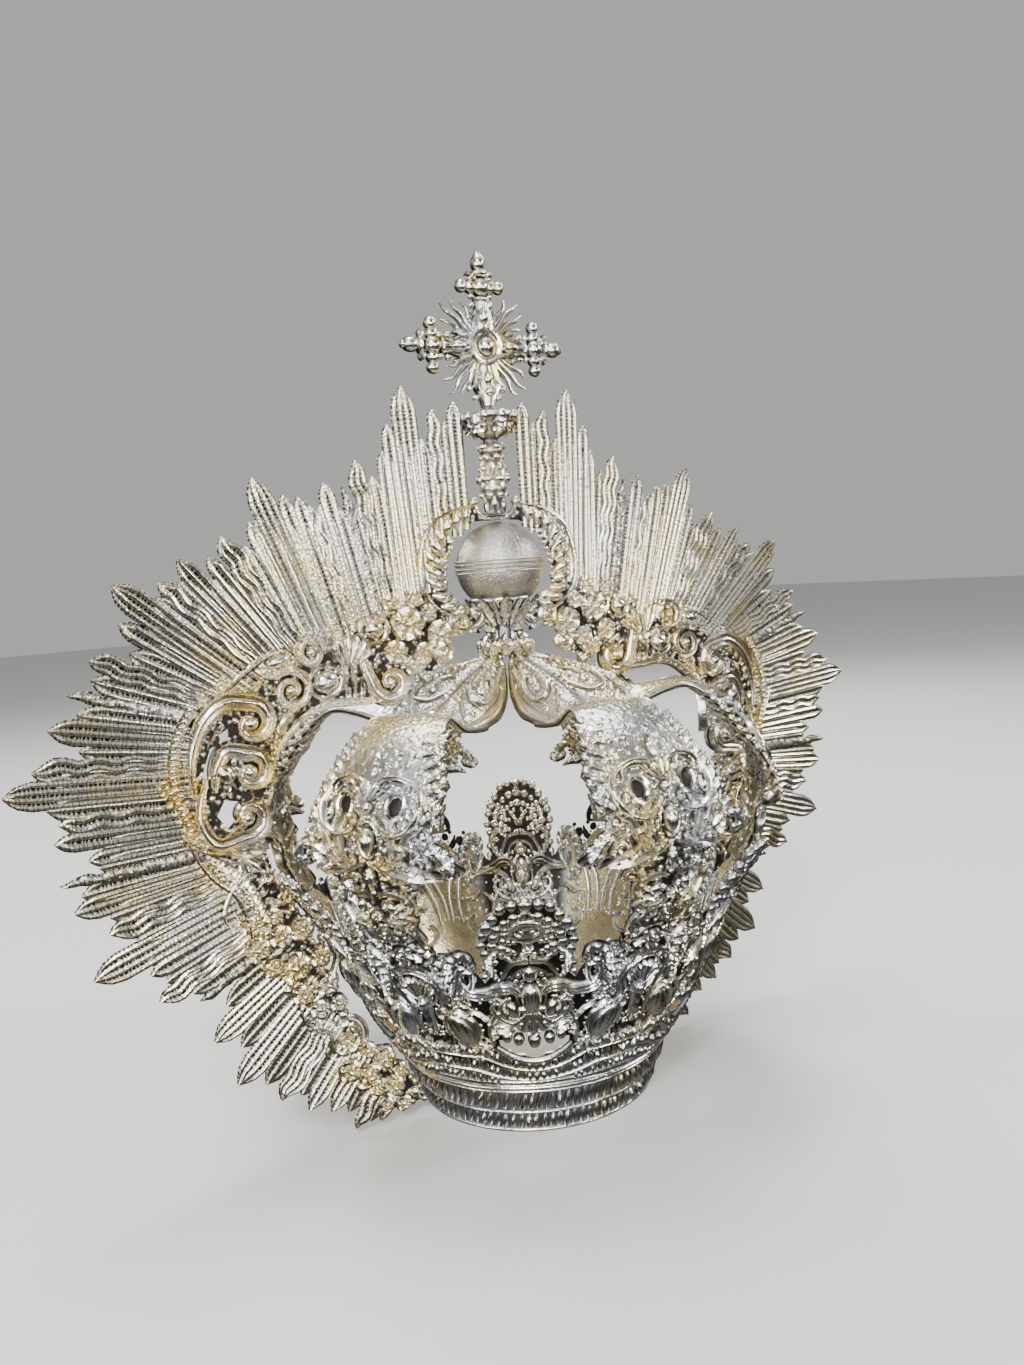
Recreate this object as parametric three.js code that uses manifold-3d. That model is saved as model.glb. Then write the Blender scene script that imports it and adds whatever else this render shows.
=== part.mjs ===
// Imperial crown of chased silver: a flared basket with six crests, six arches that rise from it
// and meet under a globe, a cross on a turned stem, and a flat rayed halo standing across the crown.
//
// Millimetres, +Z up. The origin is the centre of the base ring's underside, the front faces -Y,
// and the halo lies in the XZ plane. An azimuth is measured from the front, towards +X.

import * as THREE from 'three';
import { mergeVertices } from 'three/addons/utils/BufferGeometryUtils.js';
import Module from 'manifold-3d';

const wasm = await Module();
wasm.setup();

// ---- Driving dimensions ------------------------------------------------------------------------

const GAP = 0.35;                 // air left between two pieces that rest on each other
const SECTORS = 6;                // crests, and arches between them
const SECTOR = 360 / SECTORS;     // degrees

const WALL = 1.6;                 // basket wall
const RING_WALL = 3.2;            // base ring, doubled for stiffness
const RING_HEIGHT = 27;
const SLOT_LOW = 46;              // pierced band under each crest
const SLOT_HIGH = 56;
const ARCH_WALL = 1.4;
const ARCH_LAP = 10;              // how far an arch reaches down inside the basket

const HALO_THICKNESS = 2;
const RAY_ROOT_DEPTH = 6;         // how far a ray runs into the halo's band

const ORB_RADIUS = 22.4;
const ORB_Z = 272;
const ORB_BAND = { halfHeight: 1.6, proud: 0.9 };

const CROSS_Z = 381;
const CROSS_TOP = 427;
const CROSS_SPAN = 90;
const CROSS_THICKNESS = 4;
const GLORY_REACH = 28;           // thin rays between the cross's arms

// Outside of the basket: height above the base, and radius.
const FLARE = [
  { z: 0, r: 60 },
  { z: 10, r: 62.5 },
  { z: RING_HEIGHT, r: 70 },
  { z: SLOT_LOW, r: 81.5 },
  { z: SLOT_HIGH, r: 87 },
  { z: 74, r: 95 },
  { z: 92, r: 103 },
  { z: 112, r: 114 },
  { z: 134, r: 129 },
];

// Top edge of the basket over half a sector: degrees from the crest's middle, and height.
const RIM = [
  { from: 0, z: 134 },
  { from: 3.75, z: 132 },
  { from: 7.5, z: 125 },
  { from: 11.25, z: 110 },
  { from: 15, z: 93 },
  { from: 18.75, z: 105 },
  { from: 22.5, z: 101 },
  { from: 26.25, z: 109 },
  { from: 30, z: 111 },
];

// One arch from the basket up to the middle: radius and height of its edge line, half its width,
// and radius and height of the ridge down its middle.
const ARCH = [
  { r: 117.8, z: 119, half: 14, ridge: [119.5, 118.4] },
  { r: 121.5, z: 128, half: 16, ridge: [126, 127] },
  { r: 123, z: 137, half: 17, ridge: [129.5, 136.2] },
  { r: 125, z: 145, half: 20, ridge: [131, 144.8] },
  { r: 133, z: 152.5, half: 38, ridge: [132, 152.8] },
  { r: 131, z: 162, half: 33, ridge: [132, 163.5] },
  { r: 126, z: 172, half: 33, ridge: [129.5, 175] },
  { r: 117, z: 183, half: 31, ridge: [123.5, 187.5] },
  { r: 109.5, z: 193, half: 27, ridge: [115, 198] },
  { r: 101.5, z: 201, half: 23.5, ridge: [104.4, 204.8] },
  { r: 91, z: 206.5, half: 20, ridge: [91.3, 208.4] },
  { r: 78, z: 203.5, half: 15, ridge: [78, 207.6] },
  { r: 65, z: 197.8, half: 12.5, ridge: [65.4, 206.6] },
  { r: 54, z: 196.2, half: 13, ridge: [56, 210.5] },
  { r: 44, z: 196.8, half: 13.6, ridge: [47, 214.5] },
  { r: 35, z: 198, half: 13, ridge: [38, 218] },
  { r: 26, z: 199.8, half: 10.8, ridge: [30, 221] },
  { r: 19.5, z: 202.7, half: 8.6, ridge: [23, 223.5] },
  { r: 14.2, z: 205.7, half: 6.6, ridge: [17.5, 225.5] },
  { r: 10.8, z: 208.8, half: 5.1, ridge: [13.5, 226.8] },
  { r: 9, z: 213.5, half: 4.1, ridge: [10.8, 227.4] },
  { r: 7.2, z: 219, half: 2, ridge: [8.4, 227.6] },
  { r: 5.6, z: 226, half: 1.8, ridge: [6.3, 228] },
];
const ARCH_COLUMNS = 6;

// Halo band, right half, starting just past the middle so that the halves join in a bridge over the
// globe: outer edge from there round to the base ring.
const BRIDGE = { low: ORB_Z + ORB_RADIUS + GAP, high: ORB_Z + ORB_RADIUS + 3.6, overlap: 1 };
const BAND_OUTER = [
  [-BRIDGE.overlap, BRIDGE.high], [5.5, BRIDGE.high], [9, 301], [12, 305.5], [18, 303], [32, 299], [43, 287], [48, 268], [62, 262], [80, 258], [95, 247], [116, 242],
  [131, 240], [142, 229], [153, 221], [165, 215], [173, 203], [178, 188], [176, 172], [173, 157],
  [166, 142], [156, 130], [149, 116], [145, 100], [134, 88], [125, 76], [118, 61], [112, 46],
  [104, 31], [97, 17], [89, 7],
];

// The same band's inner edge, from the base ring back up to the globe.
const BAND_INNER = [
  [64.5, 6.5], [67, 15], [74, 25], [84, 36], [96, 47], [102, 60], [108, 71], [112, 84], [112, 95],
  [118, 108], [124, 124], [130.5, 136], [134, 150], [135, 160], [131, 172], [130, 185], [122, 197],
  [113, 206], [99, 212], [80, 214], [62, 214], [57, 226], [48, 218], [38, 223], [31, 236],
  [19, 240], [12.8, 247], [26, 251], [30, 262], [29, 276], [23, 289], [13, 293.5],
  [6, BRIDGE.low], [-BRIDGE.overlap, BRIDGE.low],
];

// Pierced places in the band: middle, and half sizes.
const BAND_HOLES = [
  { x: 149.5, z: 204, halfX: 2.6, halfZ: 5 },
  { x: 157.5, z: 190, halfX: 3.6, halfZ: 11 },
  { x: 150.5, z: 169, halfX: 5, halfZ: 6.5 },
];

// Rays of the right half, from the top round to the base: tip, root, and width at the root.
const RAYS = [
  { tip: [20, 354], root: [19, 298], width: 9 },
  { tip: [32, 350], root: [30, 292], width: 8 },
  { tip: [47.9, 361], root: [43, 268], width: 14 },
  { tip: [57, 342.7], root: [51, 262], width: 8 },
  { tip: [60.5, 330], root: [57, 260], width: 7 },
  { tip: [75.2, 326], root: [63, 260], width: 10 },
  { tip: [82, 314], root: [71, 258], width: 9 },
  { tip: [91.8, 316], root: [78, 256], width: 9 },
  { tip: [99.5, 306], root: [84, 253], width: 8 },
  { tip: [105, 310], root: [89, 249], width: 8 },
  { tip: [112, 311], root: [93, 247], width: 8 },
  { tip: [125.5, 319], root: [99, 244], width: 13 },
  { tip: [128.5, 299], root: [105, 242], width: 8 },
  { tip: [142.2, 293.7], root: [111, 240], width: 11 },
  { tip: [148.8, 284.7], root: [117, 239], width: 8 },
  { tip: [162, 284.4], root: [124, 237], width: 10 },
  { tip: [171, 275], root: [131, 234], width: 9 },
  { tip: [190.6, 275], root: [138, 229], width: 13 },
  { tip: [189.2, 258.6], root: [144, 225], width: 9 },
  { tip: [202.8, 244.5], root: [151, 220], width: 10 },
  { tip: [213.6, 231.3], root: [159, 214], width: 9 },
  { tip: [222, 217], root: [165, 205], width: 12 },
  { tip: [230, 200.2], root: [170, 195], width: 11 },
  { tip: [242.1, 191.5], root: [172, 186], width: 13 },
  { tip: [222, 176.5], root: [171, 174], width: 9 },
  { tip: [224.5, 168.9], root: [170, 167], width: 9 },
  { tip: [212, 159.5], root: [168, 161], width: 8 },
  { tip: [224.1, 151], root: [166, 153], width: 9 },
  { tip: [219.9, 138.1], root: [163, 145], width: 11 },
  { tip: [207, 126], root: [156, 137], width: 11 },
  { tip: [215.1, 107.3], root: [151, 128], width: 14 },
  { tip: [192, 104], root: [147, 119], width: 9 },
  { tip: [189.2, 90.9], root: [143, 112], width: 10 },
  { tip: [171.7, 86.6], root: [141, 102], width: 8 },
  { tip: [167.4, 66.1], root: [130, 90], width: 13 },
  { tip: [159, 43.3], root: [122, 76], width: 14 },
  { tip: [139.4, 29.6], root: [114, 58], width: 13 },
  { tip: [126.6, 20.6], root: [107, 44], width: 11 },
  { tip: [115.5, 15.9], root: [101, 33], width: 10 },
  { tip: [104, 4], root: [93, 20], width: 9 },
  { tip: [91, 3.5], root: [84, 14], width: 8 },
];

// Turned profiles: radius, and height.
const COLLAR_PROFILE = [
  [0, 228.3], [10, 228.3], [13, 230], [11.5, 233], [8.5, 236], [7.4, 239.5], [7.6, 243], [11, 247.5],
  [15, 252], [17, 255], [15.6, 255.6], [10, 251.4], [6, 249.8], [0, 249.2],
];
const STEM_PROFILE = [
  [0, 298.4], [4.7, 298.4], [4.2, 303], [5.5, 306.5], [7, 311], [6, 316], [5.8, 323], [4.2, 326],
  [6.2, 330], [3.8, 335], [8, 339], [14.5, 347], [12.5, 349.5], [4, 346.5], [3, 352], [0, 352],
];

// ---- Materials ---------------------------------------------------------------------------------

const silver = new THREE.MeshStandardMaterial({ color: 0xc9c6bd, roughness: 0.28, metalness: 1 });
const gildedSilver = new THREE.MeshStandardMaterial({ color: 0xd2c7a4, roughness: 0.3, metalness: 1 });

// ---- Helpers -----------------------------------------------------------------------------------

const radians = THREE.MathUtils.degToRad;

function onRound(azimuth, radius, z) {
  const angle = radians(azimuth);
  return [radius * Math.sin(angle), -radius * Math.cos(angle), z];
}

// Straight-line reading of a table, such as a radius at a height.
function readTable(table, key, value, at) {
  const next = table.findIndex((row) => row[key] >= at);
  if (next <= 0) return (next === 0 ? table[0] : table.at(-1))[value];
  const [low, high] = [table[next - 1], table[next]];
  const share = (at - low[key]) / (high[key] - low[key]);
  return THREE.MathUtils.lerp(low[value], high[value], share);
}

// A wall of thin sheet: front(i, j) and back(i, j) are its two faces, i to the right and j upwards
// as seen from the front. Cells that open(i, j) names are left out, and every edge gets its side.
function sheetGeometry({ columns, rows, closed = false, front, back, open = () => false }) {
  const lines = closed ? columns : columns + 1;
  const position = [];
  for (const face of [front, back]) {
    for (let i = 0; i < lines; i++) {
      for (let j = 0; j <= rows; j++) position.push(...face(i, j));
    }
  }
  const corner = (side, i, j) => (side * lines + (i % lines)) * (rows + 1) + j;
  const solid = (i, j) => {
    if (j < 0 || j >= rows) return false;
    if (!closed && (i < 0 || i >= columns)) return false;
    return !open((i + columns) % columns, j);
  };
  const index = [];
  const quad = (a, b, c, d) => index.push(a, b, c, a, c, d);
  for (let i = 0; i < columns; i++) {
    for (let j = 0; j < rows; j++) {
      if (!solid(i, j)) continue;
      const [a, b, c, d] = [[i, j], [i + 1, j], [i + 1, j + 1], [i, j + 1]].map((at) => corner(0, ...at));
      const [e, f, g, h] = [[i, j], [i + 1, j], [i + 1, j + 1], [i, j + 1]].map((at) => corner(1, ...at));
      quad(a, b, c, d);
      quad(e, h, g, f);
      if (!solid(i, j - 1)) quad(a, e, f, b);
      if (!solid(i + 1, j)) quad(b, f, g, c);
      if (!solid(i, j + 1)) quad(c, g, h, d);
      if (!solid(i - 1, j)) quad(d, h, e, a);
    }
  }
  const geometry = new THREE.BufferGeometry();
  geometry.setAttribute('position', new THREE.Float32BufferAttribute(position, 3));
  geometry.setIndex(index);
  return geometry;
}

function toSolid(geometry) {
  const bare = geometry.clone();
  bare.deleteAttribute('normal');
  bare.deleteAttribute('uv');
  const merged = mergeVertices(bare, 1e-4);
  return new wasm.Manifold(new wasm.Mesh({
    numProp: 3,
    vertProperties: new Float32Array(merged.attributes.position.array),
    triVerts: new Uint32Array(merged.index.array),
  }));
}

function toGeometry(solid) {
  const mesh = solid.getMesh();
  const geometry = new THREE.BufferGeometry();
  geometry.setAttribute('position', new THREE.BufferAttribute(mesh.vertProperties, 3));
  geometry.setIndex(new THREE.BufferAttribute(mesh.triVerts, 1));
  geometry.computeVertexNormals();
  return geometry;
}

// A flat plate standing in the XZ plane, half its thickness each side of Y = 0.
function plate(points, thickness) {
  const flat = points.map(([x, z]) => new THREE.Vector2(x, z));
  const outline = THREE.ShapeUtils.isClockWise(flat) ? flat.reverse() : flat;
  const geometry = new THREE.ExtrudeGeometry(new THREE.Shape(outline), {
    depth: thickness,
    bevelEnabled: false,
  });
  geometry.translate(0, 0, -thickness / 2);
  geometry.rotateX(Math.PI / 2);
  return toSolid(geometry);
}

const mirrored = (points) => points.map(([x, z]) => [-x, z]);
const joined = (solids) => solids.reduce((whole, solid) => whole.add(solid));

function turned(profile, segments) {
  const points = profile.map(([r, z]) => new THREE.Vector2(r, z));
  return new THREE.LatheGeometry(points, segments).rotateX(Math.PI / 2);
}

function piece(name, geometry, material) {
  const mesh = new THREE.Mesh(geometry, material);
  mesh.name = name;
  return mesh;
}

// ---- Basket ------------------------------------------------------------------------------------

// The base ring, the flared wall with its pierced band, and the crested top edge are one solid.
function makeBasket() {
  const perSector = 16;
  const columns = SECTORS * perSector;
  const step = 360 / columns;
  const low = [0, 10, RING_HEIGHT, SLOT_LOW, SLOT_HIGH];
  const upperRows = 4;
  const rows = low.length - 1 + upperRows;
  const slotRow = low.indexOf(SLOT_LOW);

  // Degrees from the nearest crest; crests stand half a sector from the arches.
  const fromCrest = (azimuth) => {
    const within = THREE.MathUtils.euclideanModulo(azimuth, SECTOR);
    return Math.abs(within - SECTOR / 2);
  };
  const height = (i, j) => {
    if (j < low.length) return low[j];
    const rim = readTable(RIM, 'from', 'z', fromCrest(i * step));
    return THREE.MathUtils.lerp(SLOT_HIGH, rim, (j - low.length + 1) / upperRows);
  };
  const face = (inset) => (i, j) => {
    const z = height(i, j);
    return onRound(i * step, readTable(FLARE, 'z', 'r', z) - inset(z), z);
  };
  const wall = (z) => (z < RING_HEIGHT ? RING_WALL : WALL);

  // Under each crest a wide slot, and a small eye on each side of it.
  const slotReach = 11.25;
  const eye = [15, 18.75];
  const isOpen = (i, j) => {
    if (j !== slotRow) return false;
    const middle = fromCrest((i + 0.5) * step);
    return middle < slotReach || (middle > eye[0] && middle < eye[1]);
  };
  return sheetGeometry({ columns, rows, closed: true, front: face(() => 0), back: face(wall), open: isOpen });
}

// ---- Arches ------------------------------------------------------------------------------------

// An arch's foot is lapped inside the basket's wall, so its edge line starts below the rim.
function archLine() {
  const rim = RIM.at(-1).z;
  const lapRadius = (z) => readTable(FLARE, 'z', 'r', z) - WALL - GAP;
  const lap = [rim - ARCH_LAP, rim].map((z) => ({ r: lapRadius(z), z, half: 10, ridge: [lapRadius(z), z] }));
  return [...lap, ...ARCH];
}

function makeArch(azimuth) {
  const line = archLine();
  const rows = line.length - 1;
  const outward = (points) => points.map((_, j) => {
    const [before, after] = [points[Math.max(j - 1, 0)], points[Math.min(j + 1, rows)]];
    return [after[1] - before[1], before[0] - after[0]].map((_, k, v) => v[k] / Math.hypot(...v));
  });
  const edges = line.map(({ r, z }) => [r, z]);
  const ridges = line.map(({ ridge }) => ridge);
  const [edgeOut, ridgeOut] = [outward(edges), outward(ridges)];

  // The inner face lies a wall's thickness inside both lines, and a little inside the edges.
  const face = (depth) => (i, j) => {
    const across = (2 * i) / ARCH_COLUMNS - 1;
    const share = Math.cos((Math.PI / 2) * across);
    const [low, high] = [0, 1].map((k) => [edges[j][k] - depth * edgeOut[j][k], ridges[j][k] - depth * ridgeOut[j][k]]);
    const half = line[j].half - Math.min(0.6 * depth, 0.2 * line[j].half);
    const turn = THREE.MathUtils.radToDeg((half * across) / line[j].r);
    return onRound(azimuth + turn, THREE.MathUtils.lerp(...low, share), THREE.MathUtils.lerp(...high, share));
  };
  return sheetGeometry({ columns: ARCH_COLUMNS, rows, front: face(0), back: face(ARCH_WALL) });
}

// ---- Halo --------------------------------------------------------------------------------------

function ray({ tip, root, width }) {
  const [along, start] = [new THREE.Vector2(...tip), new THREE.Vector2(...root)];
  along.sub(start);
  const length = along.length();
  along.normalize();
  const side = new THREE.Vector2(-along.y, along.x).multiplyScalar(width / 2);
  const at = (distance, share) => [
    start.x + along.x * distance + side.x * share,
    start.y + along.y * distance + side.y * share,
  ];
  const shoulder = length - width * 1.2;
  return [
    at(-RAY_ROOT_DEPTH, -0.8), at(shoulder, -1), at(length, -0.1),
    at(length, 0.1), at(shoulder, 1), at(-RAY_ROOT_DEPTH, 0.8),
  ];
}

function makeHalo() {
  const half = [[...BAND_OUTER, ...BAND_INNER], ...RAYS.map(ray)];
  const outlines = [...half, ...half.map(mirrored)];
  const whole = joined(outlines.map((points) => plate(points, HALO_THICKNESS)));
  const holes = BAND_HOLES.flatMap(({ x, z, halfX, halfZ }) => {
    const hole = [[x - halfX, z], [x, z - halfZ], [x + halfX, z], [x, z + halfZ]];
    return [hole, mirrored(hole)];
  });
  const cutter = joined(holes.map((points) => plate(points, 3 * HALO_THICKNESS)));
  return toGeometry(whole.subtract(cutter).simplify(0.01));
}

// ---- Globe, collar and cross -------------------------------------------------------------------

function makeOrb() {
  const arcSteps = 12;
  const { halfHeight, proud } = ORB_BAND;
  const bandAngle = Math.asin(halfHeight / ORB_RADIUS);
  const arc = (from, to) => Array.from({ length: arcSteps / 2 + 1 }, (_, k) => {
    const angle = THREE.MathUtils.lerp(from, to, (2 * k) / arcSteps);
    return [ORB_RADIUS * Math.cos(angle), ORB_RADIUS * Math.sin(angle)];
  });
  const lower = arc(-Math.PI / 2, -bandAngle);
  const upper = arc(bandAngle, Math.PI / 2);
  const band = [[ORB_RADIUS + proud, -halfHeight], [ORB_RADIUS + proud, halfHeight]];
  lower[0][0] = 0;
  upper.at(-1)[0] = 0;
  return turned([...lower, ...band, ...upper].map(([r, z]) => [r, z + ORB_Z]), 28);
}

function makeStem() {
  const knobs = [-1, 1].map((side) => toSolid(
    new THREE.SphereGeometry(2.2, 10, 8).translate(side * 7.6, 0, 317),
  ));
  return toGeometry(joined([toSolid(turned(STEM_PROFILE, 16)), ...knobs]));
}

function makeCross() {
  const reach = CROSS_SPAN / 2;
  const up = CROSS_TOP - CROSS_Z;
  const foot = STEM_PROFILE.at(-1)[1] + GAP - CROSS_Z;

  // One arm pointing up: half its outline, from the middle out to the knobbed end.
  const armHalf = (length) => [
    [4, 0], [3.2, 12], [4.5, length * 0.5], [4, length * 0.58], [9.5, length * 0.68],
    [9, length * 0.8], [4.5, length * 0.8], [4.8, length * 0.92], [2, length],
  ];
  const arm = (length) => {
    const half = armHalf(length);
    return [...half, ...mirrored(half).reverse()];
  };
  const lowerArm = [[-4, 0], [-3.2, -12], [-5.5, -18], [-2.4, -24], [-2.4, foot], [2.4, foot], [2.4, -24],
    [5.5, -18], [3.2, -12], [4, 0]];
  const turnedTo = (points, sign) => points.map(([x, z]) => [sign * z, x]);
  const wide = radians(7);
  const glory = [45, 135, 225, 315].flatMap((middle) => [-20, 0, 20].map((off) => {
    const angle = radians(middle + off);
    const at = (r, a) => [r * Math.cos(a), r * Math.sin(a)];
    return [at(6, angle - wide), at(GLORY_REACH, angle), at(6, angle + wide)];
  }));
  const outlines = [arm(up), turnedTo(arm(reach), 1), turnedTo(arm(reach), -1), lowerArm, ...glory];
  const boss = new THREE.CylinderGeometry(8.5, 8.5, CROSS_THICKNESS + 2, 20);
  const whole = joined([...outlines.map((points) => plate(points, CROSS_THICKNESS)), toSolid(boss)]);
  return toGeometry(whole.translate([0, 0, CROSS_Z]));
}

// ---- Assembly ----------------------------------------------------------------------------------

const crown = new THREE.Group();
crown.add(piece('basket', makeBasket(), silver));

const ARCHES = [
  { name: 'arch_front', azimuth: 0 },
  { name: 'arch_front_right', azimuth: 60 },
  { name: 'arch_back_right', azimuth: 120 },
  { name: 'arch_back', azimuth: 180 },
  { name: 'arch_back_left', azimuth: 240 },
  { name: 'arch_front_left', azimuth: 300 },
];
for (const { name, azimuth } of ARCHES) crown.add(piece(name, makeArch(azimuth), silver));

crown.add(piece('halo', makeHalo(), gildedSilver));

crown.add(piece('orb_collar', turned(COLLAR_PROFILE, 24), silver));
crown.add(piece('orb', makeOrb(), silver));
crown.add(piece('cross_stem', makeStem(), gildedSilver));
crown.add(piece('cross', makeCross(), gildedSilver));

export default crown;
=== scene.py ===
# %% [markdown]
# # An imperial crown of chased silver
# A flared basket with six crests, six arches that meet under a globe and a cross, and a tall rayed halo
# that stands across the crown. The frame gives every piece's real place and size. Here each bare solid is
# replaced by the silversmith's work: ridged rays, scrolls, shells, leaves, beads and bosses.

# %% Load the frame
import math
import random

import bmesh
import bpy
import numpy as np
from mathutils import Matrix, Vector


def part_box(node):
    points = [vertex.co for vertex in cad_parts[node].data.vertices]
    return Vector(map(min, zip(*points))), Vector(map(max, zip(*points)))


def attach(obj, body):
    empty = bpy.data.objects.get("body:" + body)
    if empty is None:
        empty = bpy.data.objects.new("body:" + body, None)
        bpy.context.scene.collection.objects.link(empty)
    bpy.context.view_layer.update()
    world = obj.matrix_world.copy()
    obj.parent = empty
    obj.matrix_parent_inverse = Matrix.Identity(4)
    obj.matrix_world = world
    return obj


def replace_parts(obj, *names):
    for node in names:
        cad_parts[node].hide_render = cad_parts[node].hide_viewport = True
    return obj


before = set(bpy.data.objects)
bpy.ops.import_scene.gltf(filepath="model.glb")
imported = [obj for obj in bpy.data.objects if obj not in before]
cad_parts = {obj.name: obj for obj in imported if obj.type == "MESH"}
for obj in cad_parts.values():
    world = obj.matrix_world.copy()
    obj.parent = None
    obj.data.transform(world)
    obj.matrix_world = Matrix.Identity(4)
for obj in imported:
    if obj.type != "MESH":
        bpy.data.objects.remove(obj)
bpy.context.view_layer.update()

MM = 0.001
print("CAD nodes:", sorted(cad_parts))

# %% [markdown]
# ## Helpers for modelling
# The frame arrives with its nodes selected, and an operator works on all that is selected. So each new
# piece starts from an empty selection, and only one object is ever active.

# %% Selection and finishing
def deselect():
    if bpy.context.mode != "OBJECT":
        bpy.ops.object.mode_set(mode="OBJECT")
    bpy.ops.object.select_all(action="DESELECT")


def only(obj):
    deselect()
    obj.select_set(True)
    bpy.context.view_layer.objects.active = obj


def added(name):
    """The primitive that was just added, with its place moved into its mesh."""
    obj = bpy.context.object
    obj.name = name
    bpy.ops.object.transform_apply(location=True, rotation=True, scale=True)
    return obj


def edit(obj, action, picked=False, **settings):
    """Runs one edit-mode operator on the whole mesh, or on the faces picked before."""
    only(obj)
    bpy.ops.object.mode_set(mode="EDIT")
    if not picked:
        bpy.ops.mesh.select_all(action="SELECT")
    action(**settings)
    bpy.ops.object.mode_set(mode="OBJECT")


def pick(obj, test):
    """Selects the faces whose middle passes a test, and nothing else."""
    only(obj)
    bpy.ops.object.mode_set(mode="EDIT")
    bpy.ops.mesh.select_mode(type="FACE")
    bpy.ops.mesh.select_all(action="DESELECT")
    bpy.ops.object.mode_set(mode="OBJECT")
    for face in obj.data.polygons:
        face.select = bool(test(face.center))


def modify(obj, kind, **settings):
    only(obj)
    modifier = obj.modifiers.new(kind.title(), kind)
    for key, value in settings.items():
        setattr(modifier, key, value)
    bpy.ops.object.modifier_apply(modifier=modifier.name)


def smooth_by_angle(obj, degrees):
    only(obj)
    bpy.ops.object.shade_smooth_by_angle(angle=math.radians(degrees))


def points_of(obj):
    points = np.zeros(len(obj.data.vertices) * 3)
    obj.data.vertices.foreach_get("co", points)
    return points.reshape(-1, 3)


def move_points(obj, points):
    obj.data.vertices.foreach_set("co", np.asarray(points, float).ravel())
    obj.data.update()


def set_rise(obj, value):
    """One depth of chasing for a whole piece, or one for each of its points; a low rise is painted with
    shade.
    """
    layer = obj.data.attributes.get("rise") or obj.data.attributes.new("rise", "FLOAT", "POINT")
    values = np.broadcast_to(np.asarray(value, np.float32), (len(obj.data.vertices),))
    layer.data.foreach_set("value", np.ascontiguousarray(values))

# %% [markdown]
# ## Silver
# The metal is one shader with a few moods. Polish sits on the high places and the hollows are painted a dark
# grey-brown, partly patina and partly painted shade, so every chased piece carries a `rise` value, 0 in a
# groove and
# 1 on a ridge. A yellow colour, partly tarnish and partly a painted reflection of warm lamps, comes and goes
# in soft patches. The maths is written as plain expressions on sockets.

# %% A socket that can be added and multiplied
class Wire:
    def __init__(self, tree, socket):
        self.tree = tree
        self.socket = socket

    def node(self, kind, settings=None, inputs=None, output=0):
        made = self.tree.nodes.new(kind)
        for key, value in (settings or {}).items():
            setattr(made, key, value)
        for key, value in (inputs or {}).items():
            if isinstance(value, Wire):
                self.tree.links.new(value.socket, made.inputs[key])
            else:
                made.inputs[key].default_value = value
        return Wire(self.tree, made.outputs[output] if made.outputs else None)

    def math(self, operation, a, b):
        return self.node("ShaderNodeMath", {"operation": operation}, {0: a, 1: b})

    def __add__(self, other):
        return self.math("ADD", self, other)

    def __radd__(self, other):
        return self.math("ADD", other, self)

    def __sub__(self, other):
        return self.math("SUBTRACT", self, other)

    def __rsub__(self, other):
        return self.math("SUBTRACT", other, self)

    def __mul__(self, other):
        return self.math("MULTIPLY", self, other)

    def __rmul__(self, other):
        return self.math("MULTIPLY", other, self)

    def sine(self):
        return self.math("SINE", self, 0.0)

    def ramp(self, low, high):
        """0 below low, 1 above high, and a smooth step between them."""
        return self.node(
            "ShaderNodeMapRange",
            {"interpolation_type": "SMOOTHSTEP"},
            {"Value": self, "From Min": low, "From Max": high},
        )

    def noise(self, scale, detail=3.0):
        return self.node(
            "ShaderNodeTexNoise", None,
            {"Vector": self, "Scale": scale, "Detail": detail, "Roughness": 0.55},
        )

    def mix_colour(self, one, two):
        """Colour one where this mask is 0, colour two where it is 1."""
        return self.node(
            "ShaderNodeMix", {"data_type": "RGBA"}, {"Factor": self, 6: one, 7: two}, output=2
        )

# %% Colours and measures of the metal
# The dark of the hollows: partly patina, partly painted shade.
PATINA_AND_SHADE = (0.035, 0.030, 0.025, 1)
WHITE_SILVER = (0.80, 0.80, 0.785, 1)
GILT_AND_WARM_REFLECTION = (0.84, 0.80, 0.70, 1)             # the halo keeps a breath of its old gilding, warmed further by a painted reflection
OLD_GOLD_AND_WARM_REFLECTION = (0.86, 0.74, 0.46, 1)         # the basket's inside, rarely polished, with a painted warm reflection
DULL_SILVER = (0.60, 0.58, 0.55, 1)      # the globe
# Soft warm patches: partly tarnish, partly a painted reflection of warm lamps.
WARM_REFLECTION_AND_TARNISH = (0.92, 0.78, 0.44, 1)
KNOB_PITCH = 2.9        # mm between chased knobs
DOT_PITCH = 1.9         # mm between the punched dots along the rays
UNEVEN_DOTS = 16.0      # radians by which the rows of dots wander
SHADE_BETWEEN_DOTS = 0.55     # painted shade on the rays between their dots
BUMP_DEPTH = 0.6        # mm, the fine hammering at full grain

# How often each kind of unevenness comes, in waves per metre.
PATCHES = 26
CLOUDS = 70
STREAKS = 110
WANDERING = 240
HAMMERING = 520
SCRATCHES = 1500

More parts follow.
